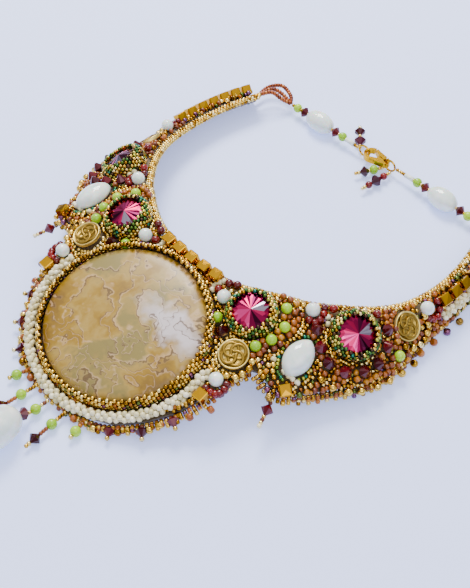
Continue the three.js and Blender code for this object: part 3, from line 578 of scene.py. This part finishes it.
def buildRope():
    # past the bezel's wall, a small gap and half the rope
    centre = agate["length"] / 2 + 2 + 0.3 + 2.3
    stretch = agate["width"] / agate["length"]
    seat = seatFrame(0, 0.492, 0.3)
    opening, lift, points = radians(80), 2.0, []
    for k in range(25):
        a = pi / 2 + opening + k / 24 * 2 * (pi - opening)
        spot = (seat @ [centre * stretch * cos(a), centre * sin(a), lift, 1])[:3]
        spot[2] = max(spot[2], lift)
        points.append(spot)
    rope = Piece("creamRopeBeads")
    twistedRope(rope, points, 4.3, "cream", 2.1, 7.5, 3)
    rope.build("cream_beads", "cream_rope")


buildAgate()
buildRope()
print("agate, bezel and rope built")


# Cut crystals, coins, navettes and white rounds
# tones: the painted light of each main facet, from grey painted reflections and bright painted glints to plum
# painted shade
crystal = {"radius": 7.0, "crown": 1.9, "girdle": 0.2, "under": 3.0,
        "tones": ["grey", "grey", "wine", "plum", "wine", "rose", "wine", "rose",
        "bright", "bright", "rose", "bright", "wine", "plum", "wine", "rose"]}


def rivoliShapes():
    # main facets to a point with a ring of small ones outside, gathered by tone; the small outer facets and
    # the underside take darker tones as painted shade
    count, girdle, crown = len(crystal["tones"]), crystal["girdle"], crystal["crown"]
    shapesByTone = {tone: {"verts": [], "faces": [], "smooth": False} for tone in rivoliFacetLightTones}
    at = lambda r, a, z: (crystal["radius"] * r * cos(a), crystal["radius"] * r * sin(a), z)
    slope = lambda r: girdle + (crown - girdle) * (1 - r)
    step = 2 * pi / count

    def facet(tone, *corners):
        made = shapesByTone[tone]
        made["faces"].append(tuple(range(len(made["verts"]), len(made["verts"]) + len(corners))))
        made["verts"].extend(corners)

    for k, tone in enumerate(crystal["tones"]):
        a, half = k * step, step / 2
        outer = {"bright": "rose", "plum": "plum"}.get(tone, "wine")
        tip = at(0.72, a, slope(0.72) + 0.1)
        left, right = (at(0.62, a + part, slope(0.62)) for part in (-half, half))
        low, high = at(1, a - half, girdle), at(1, a + half, girdle)
        lowUnder, highUnder = at(1, a - half, -girdle), at(1, a + half, -girdle)
        facet(outer, low, high, tip)
        facet(tone, high, right, tip)
        facet(outer, low, tip, left)
        facet(tone, tip, right, (0, 0, crown), left)
        facet(outer, high, low, lowUnder, highUnder)
        facet("plum", highUnder, lowUnder, (0, 0, -crystal["under"]))
    for made in shapesByTone.values():
        made["verts"] = np.array(made["verts"])
    return shapesByTone


def rivoliGlaze(row, rows):
    # gold and green with a few dark ones
    return "leaf" if rng.random() < 0.45 else "gold" if rng.random() < 0.75 else "dark"


def rivoliBezel(name, seat):
    bezel = Piece(name)
    wall = [(8.35, -3.4), (8.4, -0.8), (8.0, 0.3), (7.4, 1.0), (6.75, 1.4)]
    peyote(bezel, seat, wall, (1.4, 1.12), rivoliGlaze)
    return bezel


def coinShapes():
    # a blank with a raised rim, and an endless knot whose strand passes over and under
    half, thick, relief = 5.2, 1.6, 0.32
    blank = turnedShape([(half * 0.98, 0), (half, 0.2), (half, thick - 0.12), (half * 0.98, thick),
            (half * 0.93, thick - 0.04), (half * 0.9, thick - relief),
            (0.05, thick - relief)], 40)
    verts, faces, count, around = [], [], 180, 6
    reach = lambda t: half * (0.48 + 0.32 * cos(4 * t))
    centre = lambda t: np.array([reach(t) * cos(3 * t), reach(t) * sin(3 * t),
            thick - relief + 0.16 + 0.14 * sin(4 * t)])
    for k in range(count):
        t = 2 * pi * k / count
        ahead = unit(centre(t + 0.01) - centre(t - 0.01))
        side = unit(np.cross([0, 0, 1], ahead))
        up = np.cross(ahead, side)
        for j in range(around):
            a = 2 * pi * j / around
            verts.append(centre(t) + side * 0.52 * cos(a) + up * 0.36 * sin(a))
    for k in range(count):
        for j in range(around):
            a, b = k * around + j, k * around + (j + 1) % around
            c, d = ((k + 1) % count) * around + j, ((k + 1) % count) * around + (j + 1) % around
            faces.append((a, c, d, b))
    return blank, {"verts": np.array(verts), "faces": faces, "smooth": True}


def navetteShape():
    # a dome on a pointed oval, 15 by 9.8 mm
    rows = [(0.9, 0), (1, 0.16), (0.985, 0.3), (0.93, 0.5), (0.83, 0.68), (0.68, 0.82), (0.5, 0.91),
            (0.3, 0.97), (0.1, 0.995)]
    halfLength, halfWidth, height, around, verts = 7.5, 4.9, 5.4, 40, []
    for share, rise in rows:
        for k in range(around):
            a = 2 * pi * k / around
            wide = copysign(abs(sin(a)) ** 1.35, sin(a))
            verts.append((share * halfLength * cos(a), share * halfWidth * wide, rise * height))
    return ringed(verts, len(rows), around)


rivoli, (coinBlank, coinKnot), navette = rivoliShapes(), coinShapes(), navetteShape()
for side, sign in sides:
    for place in ("front", "side"):
        seat = seatOf("rivoli" + place.title(), sign)
        stone = Piece(f"rivoliCrystal_{place}_{side}")
        for tone, facets in rivoli.items():
            stone.add(facets, tone, seat)
        stone.build("pink_crystal", f"rivoli_{place}_{side}")
        bezel = rivoliBezel(f"rivoliBezelBeads_{place}_{side}", seat)
        bezel.build("bronze_beads", f"rivoli_bezel_{place}_{side}")
        coin = Piece(f"knotCoin_{place}_{side}")
        coin.add(coinBlank, "brass", seatOf("coin" + place.title(), sign))
        coin.add(coinKnot, "brass", seatOf("coin" + place.title(), sign))
        coin.build("aged_brass", f"coin_{place}_{side}")
    stone = Piece(f"opalNavette_{side}")
    stone.add(navette, "opal", seatOf("navette", sign))
    stone.build("white_glass", f"navette_{side}")
    for place in ("Neck", "Inner", "Lobe", "Arm"):
        seat = seatOf("white" + place, sign)
        white = Piece(f"whiteRound_{place.lower()}_{side}")
        white.bead("round", "opal", seat[:3, 3], seat[:3, 2], 5.0)
        white.build("white_glass", f"white_bead_{place.lower()}_{side}")

# metal cubes
cubeSize = np.diag([4, 4, 4, 1])
for k, along in enumerate((-0.098, -0.049, 0, 0.049, 0.098)):
    cube = Piece(f"goldCube_front_{k + 1}")
    cube.add("cube", "cube", seatFrame(along, -0.015, 2.7) @ cubeSize)
    cube.build("gold_plate", f"cube_front_{k + 1}")
for side, sign in sides:
    for place in ("Notch", "Lobe"):
        cube = Piece(f"goldCube_{place.lower()}_{side}")
        cube.add("cube", "cube", seatOf("cube" + place, sign) @ cubeSize)
        cube.build("gold_plate", f"cube_{place.lower()}_{side}")
    row = Piece(f"goldCubes_arm_{side}")
    for k in range(7):
        seat = seatFrame(0.802 + 0.0285 * k, 0.33, 2.4, 0, 0, sign)
        row.add("cube", "cube", seat @ cubeSize)
    row.build("gold_plate", f"cubes_arm_{side}")
    points = [plateTop(sign * a, 0.74) + plateAxes(sign * a, 0.74)[2] * 2.0
            for a in np.linspace(0.79, 0.985, 11)]
    rope = Piece(f"creamRopeBeads_arm_{side}")
    twistedRope(rope, points, 3.8, "cream", 2.0, 7.5)
    rope.build("cream_beads", f"cream_rope_arm_{side}")
print("stones, coins and cubes built")

# Bead fields: larger beads at (share along, share across)
accents = {
    "green": [(.362, .117), (.371, .339), (.34, .575), (.3, .742), (.64, .85), (.162, .26)],
    "bicone": [(.465, .304), (.635, .41), (.621, .657), (.591, .813), (.56, .85), (.525, .827), (.493, .709),
        (.476, .518), (.192, .39)],
    "siam": [(.148, -.012), (.176, -.021), (.126, .054), (.512, .02), (.625, .105)],
}
beadWidths = {"green": 3.8, "bicone": 4.4, "siam": 3.0}
# for each seat: radius kept clear, stretch along X, and rings of seeds (glaze, size, from and to angles,
# where 0 points along the collar)
blocks = [
    ("rivoliFront", 9.1, 1, [("gold", seed15, 0, 360)]), ("rivoliSide", 9.1, 1, [("gold", seed15, 0, 360)]),
    ("coinFront", 5.3, 1, [("pale", seed15, 60, 262), ("pale", seed15, 60, 262)]),
    ("coinSide", 5.3, 1, [("copper", seed11, 100, 250)]),
    ("navette", 5.0, 1.5, [("leaf", seed15, 0, 360), ("gold", seed15, 90, 270)]),
    ("whiteNeck", 2.6, 1, []), ("whiteInner", 2.6, 1, []), ("whiteLobe", 2.6, 1, []),
    ("whiteArm", 2.6, 1, []),
    ("cubeNotch", 2.7, 1, [("gold", seed15, 0, 360)]), ("cubeLobe", 2.7, 1, [("gold", seed15, 0, 360)]),
]
# beads seen one by one in the photo
redSize, orangeSize, cornSize = (2.7, 2.3), (2.3, 1.9), (2.8, 2.2)
laid = [
    ("cream", seed11, [(.106, .066), (.105, .04), (.109, .019), (.115, .001), (.124, -.017)]),
    ("siam", redSize, [
        (.211, .953), (.225, 1.051), (.238, 1.133), (.247, 1.169), (.255, 1.156), (.257, 1.107),
        (.486, .007), (.484, .097), (.473, .177), (.459, .209), (.443, .184), (.79, .273), (.787, .525),
        (.778, .653), (.766, .646), (.756, .574)]),
    ("copper", orangeSize, [
        (.342, -.046), (.367, -.019), (.391, .019), (.393, .127), (.361, .215), (.396, .245), (.353, .417),
        (.399, .332), (.368, .459), (.315, .652), (.327, .687), (.355, .623), (.369, .531), (.324, .761),
        (.315, .83), (.299, .859), (.388, .397), (.647, .161), (.658, .431), (.653, .565), (.65, .649),
        (.62, .909), (.603, .745), (.664, .933), (.661, .985), (.627, .832), (.477, .63), (.511, .82),
        (.546, .915), (.457, .38), (.582, .943)]),
    ("cream", seed11, [
        (.511, .174), (.495, .223), (.495, .128), (.395, .797), (.406, .83), (.415, .856), (.427, .893),
        (.361, .727)]),
    ("gold", seed11, [
        (.331, 1.02), (.343, 1.015), (.323, .971), (.35, .843), (.363, .785), (.366, .848), (.373, .892)]),
    ("iris", seed11, [(.391, 1.043), (.434, 1.016), (.363, 1.059), (.373, 1.127)]),
    ("gold", seed11, [(.403, 1.112), (.455, .923), (.371, 1.092)]),
    ("dark", cornSize, [(.483, .512)]),
    ("gold", cornSize, [
        (.302, .954), (.299, 1.046), (.286, 1.083), (.272, 1.085), (.25, .987), (.747, .45), (.747, .677),
        (.738, .833), (.725, .921), (.706, .938), (.683, .892), (.664, .795), (.476, .874), (.5, .978),
        (.528, 1.041), (.55, 1.052), (.581, 1.07), (.607, 1.077), (.638, 1.092), (.675, 1.126)]),
    ("copper", cornSize, [(.702, 1.08), (.753, 1.123)]),
    ("iris", cornSize, [(.79, 1.169), (.824, 1.236)]),
]
# gold seed lines stitched across the fields
seedLines = [
    [(.448, .141), (.434, .298), (.415, .438), (.39, .562), (.36, .689), (.328, .882)],
    [(.423, .156), (.422, .304), (.398, .44), (.37, .56)],
    [(.505, .70), (.49, .93)], [(.537, .78), (.533, .96)], [(.575, .79), (.58, .97)],
    [(.607, .70), (.622, .95)], [(.476, .60), (.45, .80)], [(.478, .41), (.452, .42)],
    [(.637, .53), (.66, .56)],
]


class Crowd:
    # where beads are stitched down already, to keep the next ones clear of them
    def __init__(self, most=9000):
        self.spots, self.radii, self.count = np.full((most, 3), 1e3), np.zeros(most), 1

    def add(self, place, radius):
        self.spots[self.count], self.radii[self.count] = place, radius
        self.count += 1

    def fits(self, place, radius, slack=0.0):
        away = self.spots[:self.count] - place
        return (np.sqrt((away * away).sum(axis=1)) - self.radii[:self.count]).min() > radius - slack


def buildField(side, sign):
    field, crowd = Piece(f"beadField_{side}"), Crowd()
    seatsHere = [seatOf(name, sign) for name, *_ in blocks]
    clear = [(np.linalg.inv(seat), block[1], block[2]) for seat, block in zip(seatsHere, blocks)]
    agateSeat = np.linalg.inv(seatOf("agate"))
    bezelReach, ropeReach, ropeEnd = agate["length"] / 2 + 2.1, agate["length"] / 2 + 6.4, 6.5

    def open_(place, own=None, margin=0.3):
        for k, (seat, radius, stretch) in enumerate(clear):
            x, y = (seat @ [*place, 1])[:2]
            if k != own and hypot(x / stretch, y) < radius + margin:
                return False
        x, y = (agateSeat @ [*place, 1])[:2]
        return hypot(x / 1.074, y) > (bezelReach if y > ropeEnd else ropeReach) + 0.3

    def put(glaze, along, across, size, axis, slack=0.25, own=None):
        place = plateTop(along, across)
        if not open_(place, own) or not crowd.fits(place, size[0] / 2, slack):
            return
        normal = plateAxes(along, across)[2]
        field.bead("seed", glaze, place + normal * (size[0] / 2 + 0.3), axis, *size)
        crowd.add(place, min(size) / 2)

    for kind, places in accents.items():
        width = beadWidths[kind]
        for along, across in places:
            seat = seatFrame(along, across, 1.8 + 0.2 * width, 0, 0, sign)
            if kind == "bicone":
                field.bead("bicone", "garnet", seat[:3, 3], seat[:3, 2], width)
            else:
                field.bead("round", kind, seat[:3, 3], seat[:3, 0], width)
            crowd.add(plateTop(along * sign, across), width / 2 - (0.55 if kind == "bicone" else 0.1))
    for glaze, size, places in laid:
        for along, across in places:
            seat = seatFrame(along, across, size[0] / 2 + 0.5, 0, rng.uniform(0, 180), sign)
            seat[2, 3] = max(seat[2, 3], size[0] / 2)
            field.bead("seed", glaze, seat[:3, 3], seat[:3, 0], *size)
            crowd.add(plateTop(along * sign, across), size[1] / 2)
    for line in seedLines:
        route = plateTop([a * sign for a, _ in line], [c for _, c in line])
        for spot, axis in zip(*sampled(route, 1.25)):
            put("gold", *onPlate(spot, line[0][0] * sign), seed15, axis, slack=0.5)
    for own, (name, radius, stretch, rings) in enumerate(blocks):
        seat, reach = seatsHere[own], radius
        for glaze, size, start, stop in rings:
            reach += size[0] / 2
            count = int(radians(stop - start) * reach * (1 + stretch) / 2 / (size[1] * 1.06))
            for k in range(count):
                t = radians(start + (stop - start) * (k + 0.5) / count)
                x, y = reach * stretch * cos(t) * sign, reach * sin(t)
                along, across = onPlate((seat @ [x, y, 0, 1])[:3], seats[name][0] * sign)
                if 0.0 < across < 1.03 and abs(along) < 0.985:
                    axis = seat[:3, :3] @ [-stretch * sin(t) * sign, cos(t), 0]
                    put(glaze, along, across, size, axis, slack=0.4, own=own)
            reach += size[0] / 2
    # the ground between them, larger beads first
    for tries, size, slack in ((5000, seed11, 0.0), (30000, seed15, 0.0), (30000, seed15, 0.14)):
        shares = np.c_[rng.uniform(-0.004, 0.985, tries), rng.uniform(0.0, 0.995, tries)]
        for (along, across), place in zip(shares, plateTop(shares[:, 0] * sign, shares[:, 1])):
            if not crowd.fits(place, size[1] / 2 + 0.08, slack):
                continue
            ahead, out, _ = plateAxes(along * sign, across)
            t = rng.normal(0, 0.6)
            put(groundGlaze(along, across, size), along * sign, across, size,
                ahead * cos(t) + out * sin(t), 0.25 + slack)
    field.build("copper_beads", f"bead_field_{side}")
    return crowd.count


def groundGlaze(along, across, size):
    pick = rng.random()
    if along > 0.78:
        return "iris" if pick < 0.35 else "copper" if pick < 0.7 else "gold"
    if along < 0.3:
        return "gold" if pick < 0.75 else "iris" if pick < 0.85 else "copper"
    if size is seed11:
        return "copper" if pick < 0.85 else "gold"
    return "copper" if pick < 0.45 else "gold" if pick < 0.85 else "iris"


gridAlong, gridAcross = np.meshgrid(np.linspace(-1, 1, 401), np.linspace(-0.1, 1.1, 61), indexing="ij")
gridPoints = plateTop(gridAlong, gridAcross)


def onPlate(place, near):
    # the nearest place on the plate, looking near one share along
    first = max(int((near + 1) * 200) - 60, 0)
    last = min(first + 121, 401)
    flat = np.sum((gridPoints[first:last] - place) ** 2, axis=-1)
    i, j = np.unravel_index(np.argmin(flat), flat.shape)
    return gridAlong[first + i, j], gridAcross[first + i, j]


for side, sign in sides:
    print("field", side, buildField(side, sign), "beads")


# Edgings
def edgingLine(start, stop, across, width, count):
    # along an edge of the plate: the place, the normal and the way out
    points, outward = [], 1 if across > 0.5 else -1
    for along in np.linspace(start, stop, count + 1):
        _, out, normal = plateAxes(along, across)
        place = plateTop(along, across) + out * outward * (0.45 + width / 2) - normal * 0.8
        place[2] = max(place[2], width / 2)
        points.append((place, normal, out * outward))
    return points


def whipped(piece, start, stop, across, width, glazeMix, picots=0.0, lean=0.0, spacing=1.62):
    # short rows of seeds stitched over the edge, leaning along it, with a picot now and then
    line = edgingLine(start, stop, across, width, 160)
    places = np.array([place for place, _, _ in line])
    run = np.r_[0, np.cumsum(np.linalg.norm(np.diff(places, axis=0), axis=1))]
    count = int(run[-1] / spacing)
    at = lambda s: np.array([np.interp(s, run, places[:, c]) for c in range(3)])
    for n in range(count):
        here = (n + 0.5) / count * run[-1]
        k = min(int(np.searchsorted(run, here)), len(line) - 1)
        _, normal, out = line[k]
        spot = at(here)
        reach = max(width / 2 - 0.25, 0.45)
        for step, angle in enumerate((178, 132, 86, 40, -6, -52)):
            if lean and angle < -20:
                continue
            t = radians(angle)
            off = out * cos(t) + normal * sin(t)
            forth = at(here + lean * (step - 2)) - spot
            around = (normal * cos(t) - out * sin(t)) * reach * 0.8
            around = around - forth / max(abs(step - 2), 1) * np.sign(step - 1.9)
            glaze = pick(glazeMix)
            point = spot + forth + off * reach
            if point[2] > seed15[0] / 2 - 0.05:
                piece.bead("seed", glaze, point, around, *seed15)
        if picots and n % 2 == 0:
            glaze = pick(glazeMix)
            tip = spot + out * (width / 2 + picots)
            tip[2] = max(tip[2], 0.8)
            piece.bead("seed", glaze, tip, np.cross(out, normal), 1.7, 1.3)


neckWidth, outerWidth = 2.4, 2.0
neck = Piece("neckEdgingBeads")
whipped(neck, -1, 1, 0, neckWidth, ["gold", "gold", "gold", "pale"], lean=0.5, spacing=1.5)
neck.build("gold_beads", "neck_edging")
for side, sign in sides:
    outer = Piece(f"outerEdgingBeads_{side}")
    whipped(outer, 0.33 * sign, 0.62 * sign, 1, outerWidth, ["gold", "gold", "copper", "iris"], picots=0.5)
    whipped(outer, 0.62 * sign, 0.8 * sign, 1, outerWidth, ["copper", "iris", "gold"], picots=0.5)
    whipped(outer, 0.8 * sign, 1.0 * sign, 1, outerWidth, ["copper", "iris", "dark", "copper"], picots=0.6)
    outer.build("gold_beads", f"outer_edging_{side}")
print("edgings built")


# Fringe, dangles, loops, strands and charms
# shape, glaze, width and length of each kind of bead on a string
kinds = {
    "green": ("round", "green", 3.8, 3.8), "siam": ("round", "siam", 3.0, 3.0),
    "bicone": ("bicone", "garnet", 4.6, 4.0), "crystal": ("bicone", "amethyst", 5.0, 5.0),
    "oval": ("oval", "opal", 8.5, 13.5), "drop": ("oval", "opal", 13.5, 20.0),
    "bugle": ("bugle", "frost", 2.0, 4.4), "seed": ("seed", "gold", 1.5, 1.15),
    "tip": ("seed", "pale", 1.7, 1.3), "redSeed": ("seed", "copper", 1.5, 1.15),
    "creamSeed": ("seed", "cream", 1.7, 1.3),
}


def strung(piece, points, names, lead):
    # strings beads end to end along a smooth line, with a tiny seed where two large ones meet
    fine, _ = sampled(points, 0.1)
    fine = np.vstack([points[0], fine, points[-1]])
    run = np.r_[0, np.cumsum(np.linalg.norm(np.diff(fine, axis=0), axis=1))]
    at = lambda s: np.array([np.interp(s, run, fine[:, c]) for c in range(3)])
    place, before = lead, 0
    for name in names:
        shape, glaze, width, length = kinds[name]
        axis = at(min(place + length, run[-1])) - at(min(place, run[-1] - 0.05))
        piece.bead(shape, glaze, at(min(place + length / 2, run[-1])), axis, width, length * 0.98)
        if place > lead and min(length, before) > 3:
            piece.bead("seed", "gold", at(place), axis, 1.5, 0.9)
        place, before = place + length, length
    return place, run[-1]


def fringeRoute(along, length):
    ahead, out, normal = plateAxes(along, 1)
    start = plateTop(along, 1) + out * (0.45 + 1.0)
    start[2] = max(start[2] - 0.8, 2.1)
    end = start + out * length
    end[2] = max(end[2], 2.1)
    return [start, end]


fringe = Piece("fringeBeads")
whipped(fringe, -0.3, 0.3, 1, outerWidth, ["gold", "iris", "gold", "copper"], picots=0.5)
# a row of seeds between the rope and the edge
rim = plateTop(np.linspace(-0.2, 0.2, 61), 0.965)
for spot, axis in zip(*sampled(rim, 1.2)):
    glaze = pick(["gold", "iris", "copper", "gold"])
    fringe.bead("seed", glaze, spot + [0, 0, 1.2], axis, 1.7, 1.2)
rays = [
    (0.159, -1.35, ["bicone", "tip"]), (0.118, -0.75, ["bicone", "tip"]), (0.0785, -1.35, ["bicone", "tip"]),
    (0.0465, -0.55, ["redSeed"] * 3 + ["green", "tip"]),
    (0.024, -0.25, ["seed"] * 5 + ["green"] + ["redSeed"] * 3 + ["bicone", "tip", "seed"]),
]
# gold and orange rounds beside them: share along, and distance out from the edge
besides = [
    ("gold", .089, .64), ("gold", .101, .1), ("gold", .128, 1.19), ("gold", .142, .35), ("gold", .167, -.55),
    ("copper", .18, 1.58), ("copper", .206, 3.26), ("gold", .06, 1.2), ("copper", .036, 1.4),
]
for sign in (1, -1):
    for along, lead, names in rays:
        length = sum(kinds[name][3] for name in names) + lead
        strung(fringe, fringeRoute(along * sign, length), names, lead)
    for glaze, along, away in besides:
        start, end = fringeRoute(along * sign, 1)
        fringe.bead("seed", glaze, start + (end - start) * away, plateAxes(along * sign, 1)[0], 2.7, 2.1)
fringe.build("gold_beads", "fringe")

drop = Piece("centreDropBeads")
start = fringeRoute(0, 1)[0]
start[1] -= 1.3
dropHeight, dropReach = 6.85, 33.05
dropRests = [(8, 2.6), (13, 6), (20, dropHeight), (dropReach, dropHeight)]
strung(drop, [start] + [[0, start[1] - out, height] for out, height in dropRests],
       ["seed", "redSeed", "seed", "green", "seed", "bicone", "drop"], 0.65)
drop.build("garnet_crystal", "centre_drop")
for side, sign in sides:
    dangle = Piece(f"notchDangleBeads_{side}")
    along = 0.385 * sign
    start = plateTop(along, 1) + plateAxes(along, 1)[1] * 2.6
    end = start + [4 * sign, -11, -2.5]
    strung(dangle, [start, end], ["seed", "redSeed", "bicone", "seed", "redSeed", "seed", "creamSeed"], 0.2)
    dangle.build("garnet_crystal", f"notch_dangle_{side}")

claspTurn = radians(3)
claspAlong = np.array([cos(claspTurn), sin(claspTurn), 0])
loopArcs = [(0.92, [[63, 101.6, 4.6], [58.4, 105.8, 6], [52, 104.6, 5.2]]),
        (0.5, [[58.6, 100.2, 7.2], [54.2, 101.8, 6.2]]), (0.08, [[55.8, 97, 8.8], [52.2, 99.4, 6]])]


def boxCentre(node):
    low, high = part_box(node)
    return np.array((low + high) / 2) / mm - shift


for side, sign in sides:
    flip = np.array([sign, 1, 1])
    loop = Piece(f"endLoopBeads_{side}")
    start = np.array([48.9, 101.6, 4.2]) * flip
    for across, through in loopArcs:
        leave = plateTop(sign, across) - plateAxes(sign, across)[2] * 0.8
        spots, ahead = sampled([leave, *[np.array(p) * flip for p in through], start], 1.2)
        for spot, axis in zip(spots, ahead):
            loop.bead("seed", "loop", spot, axis, 1.8, 1.25)
    loop.build("copper_beads", f"end_loop_{side}")
    ring = boxCentre(f"clasp_ring_{side}")
    end = ring + claspAlong * sign * 3.25
    heading = unit(end - start)
    leave = start + heading * 1.3
    rests = [leave + (end - leave) * share for share in (0.25, 0.45, 0.65)]
    for rest in rests:
        rest[2] = 4.35
    strand = Piece(f"strandBeads_{side}")
    names = ["seed", "green", "bicone", "oval", "bicone", "green", "bugle"]
    used, whole = strung(strand, [leave, *rests, end], names, 1 - seed15[1])
    strung(strand, [leave, *rests, end], ["seed"] * max(round((whole - used) / seed15[1]), 1), used)
    strand.build("white_glass", f"strand_{side}")
for name, side, angle, heading, length, names, lead in (
        ("charm_far", "left", 217, 132, 14.5, ["seed", "seed", "crystal", "seed", "bicone", "tip"], 0.7),
        ("charm_near", "right", 323, 264, 16.5,
        ["seed", "seed", "siam", "crystal", "siam", "tip", "seed"], 0.7),
        ("charm_inner", "right", 228, 244, 12.5, ["seed", "seed", "green", "bicone", "tip", "seed"], 0.3)):
    ring = boxCentre(f"clasp_ring_{side}")
    angle, heading = radians(angle), radians(heading)
    away = np.array([cos(heading), sin(heading), 0])
    start = ring + claspAlong * 2.5 * cos(angle) + [0, 0, 2.5 * sin(angle)] + away * 0.9
    end = start + away * length
    end[2] = 2.6
    charm = Piece(name.replace("_", "") + "Beads")
    strung(charm, [start, end], names, lead)
    charm.build("garnet_crystal", name)
print("strings built")

# CAD nodes that stay visible
for node, glaze in (("backing", "suede"), ("clasp_body", "plate"), ("clasp_lever", "plate"),
        ("clasp_ring_right", "plate"), ("clasp_ring_left", "plate")):
    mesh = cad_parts[node].data
    mesh.materials.clear()
    mesh.materials.append(glazes[glaze])

# Floor, light and camera
# matt pale lavender paper, lit a little from behind like a photographer's sweep
paper = newMaterial("paleLavenderPaper", Base_Color="#C8D3FB", Roughness=0.9, Emission_Color="#BAC8FF",
        Emission_Strength=0.75)[0]
floorMesh = bpy.data.meshes.new("floor")
floorMesh.from_pydata([(-3, -3, 0), (3, -3, 0), (3, 3, 0), (-3, 3, 0)], [], [(0, 1, 2, 3)])
floorMesh.materials.append(paper)
floor = bpy.data.objects.new("floor", floorMesh)
bpy.context.scene.collection.objects.link(floor)

world = bpy.data.worlds.new("softRoom")
bpy.context.scene.world = world
world.use_nodes = True
# dim walls and a bright ceiling, which give the metals their contrast
direction = addNode(world.node_tree, "TexCoord").outputs["Generated"]
height = addNode(world.node_tree, "SeparateXYZ", Vector=direction).outputs["Z"]
sky = ramp(world.node_tree, height, [(0.0, "#6E7078"), (0.35, "#9DA0AA"), (0.6, "#E6E9F4"), (1.0, "#FFFFFF")])
world.node_tree.links.new(sky, world.node_tree.nodes["Background"].inputs["Color"])
world.node_tree.nodes["Background"].inputs["Strength"].default_value = 1.4


def softbox(name, place, size, power, colour="#FFFFFF"):
    data = bpy.data.lights.new(name, "AREA")
    data.size, data.energy, data.color = size, power, linear(colour)[:3]
    lamp = bpy.data.objects.new(name, data)
    bpy.context.scene.collection.objects.link(lamp)
    lamp.location = place
    lamp.rotation_euler = (-Vector(place)).to_track_quat("-Z", "Y").to_euler()


softbox("windowLight", (-0.45, 0.35, 0.75), 0.4, 14.0, "#FFFDF8")
softbox("fillLight", (0.6, -0.2, 0.6), 0.6, 3.0, "#EEF2FF")

azimuth, elevation, distance = radians(45.849), radians(49.105), 390.59
flat = cos(elevation)
back = Vector((sin(azimuth) * flat, -cos(azimuth) * flat, sin(elevation)))
target = Vector(np.array([8.335, 13.229, 0]) + shift)
camera = bpy.data.objects.new("camera", bpy.data.cameras.new("camera"))
bpy.context.scene.collection.objects.link(camera)
camera.data.sensor_width = 36
camera.data.lens = 65.95
camera.data.clip_start = 0.01
camera.rotation_mode = "QUATERNION"
camera.location = (target + back * distance) * mm
camera.rotation_quaternion = (-back).to_track_quat("-Z", "Y")
bpy.context.scene.camera = camera
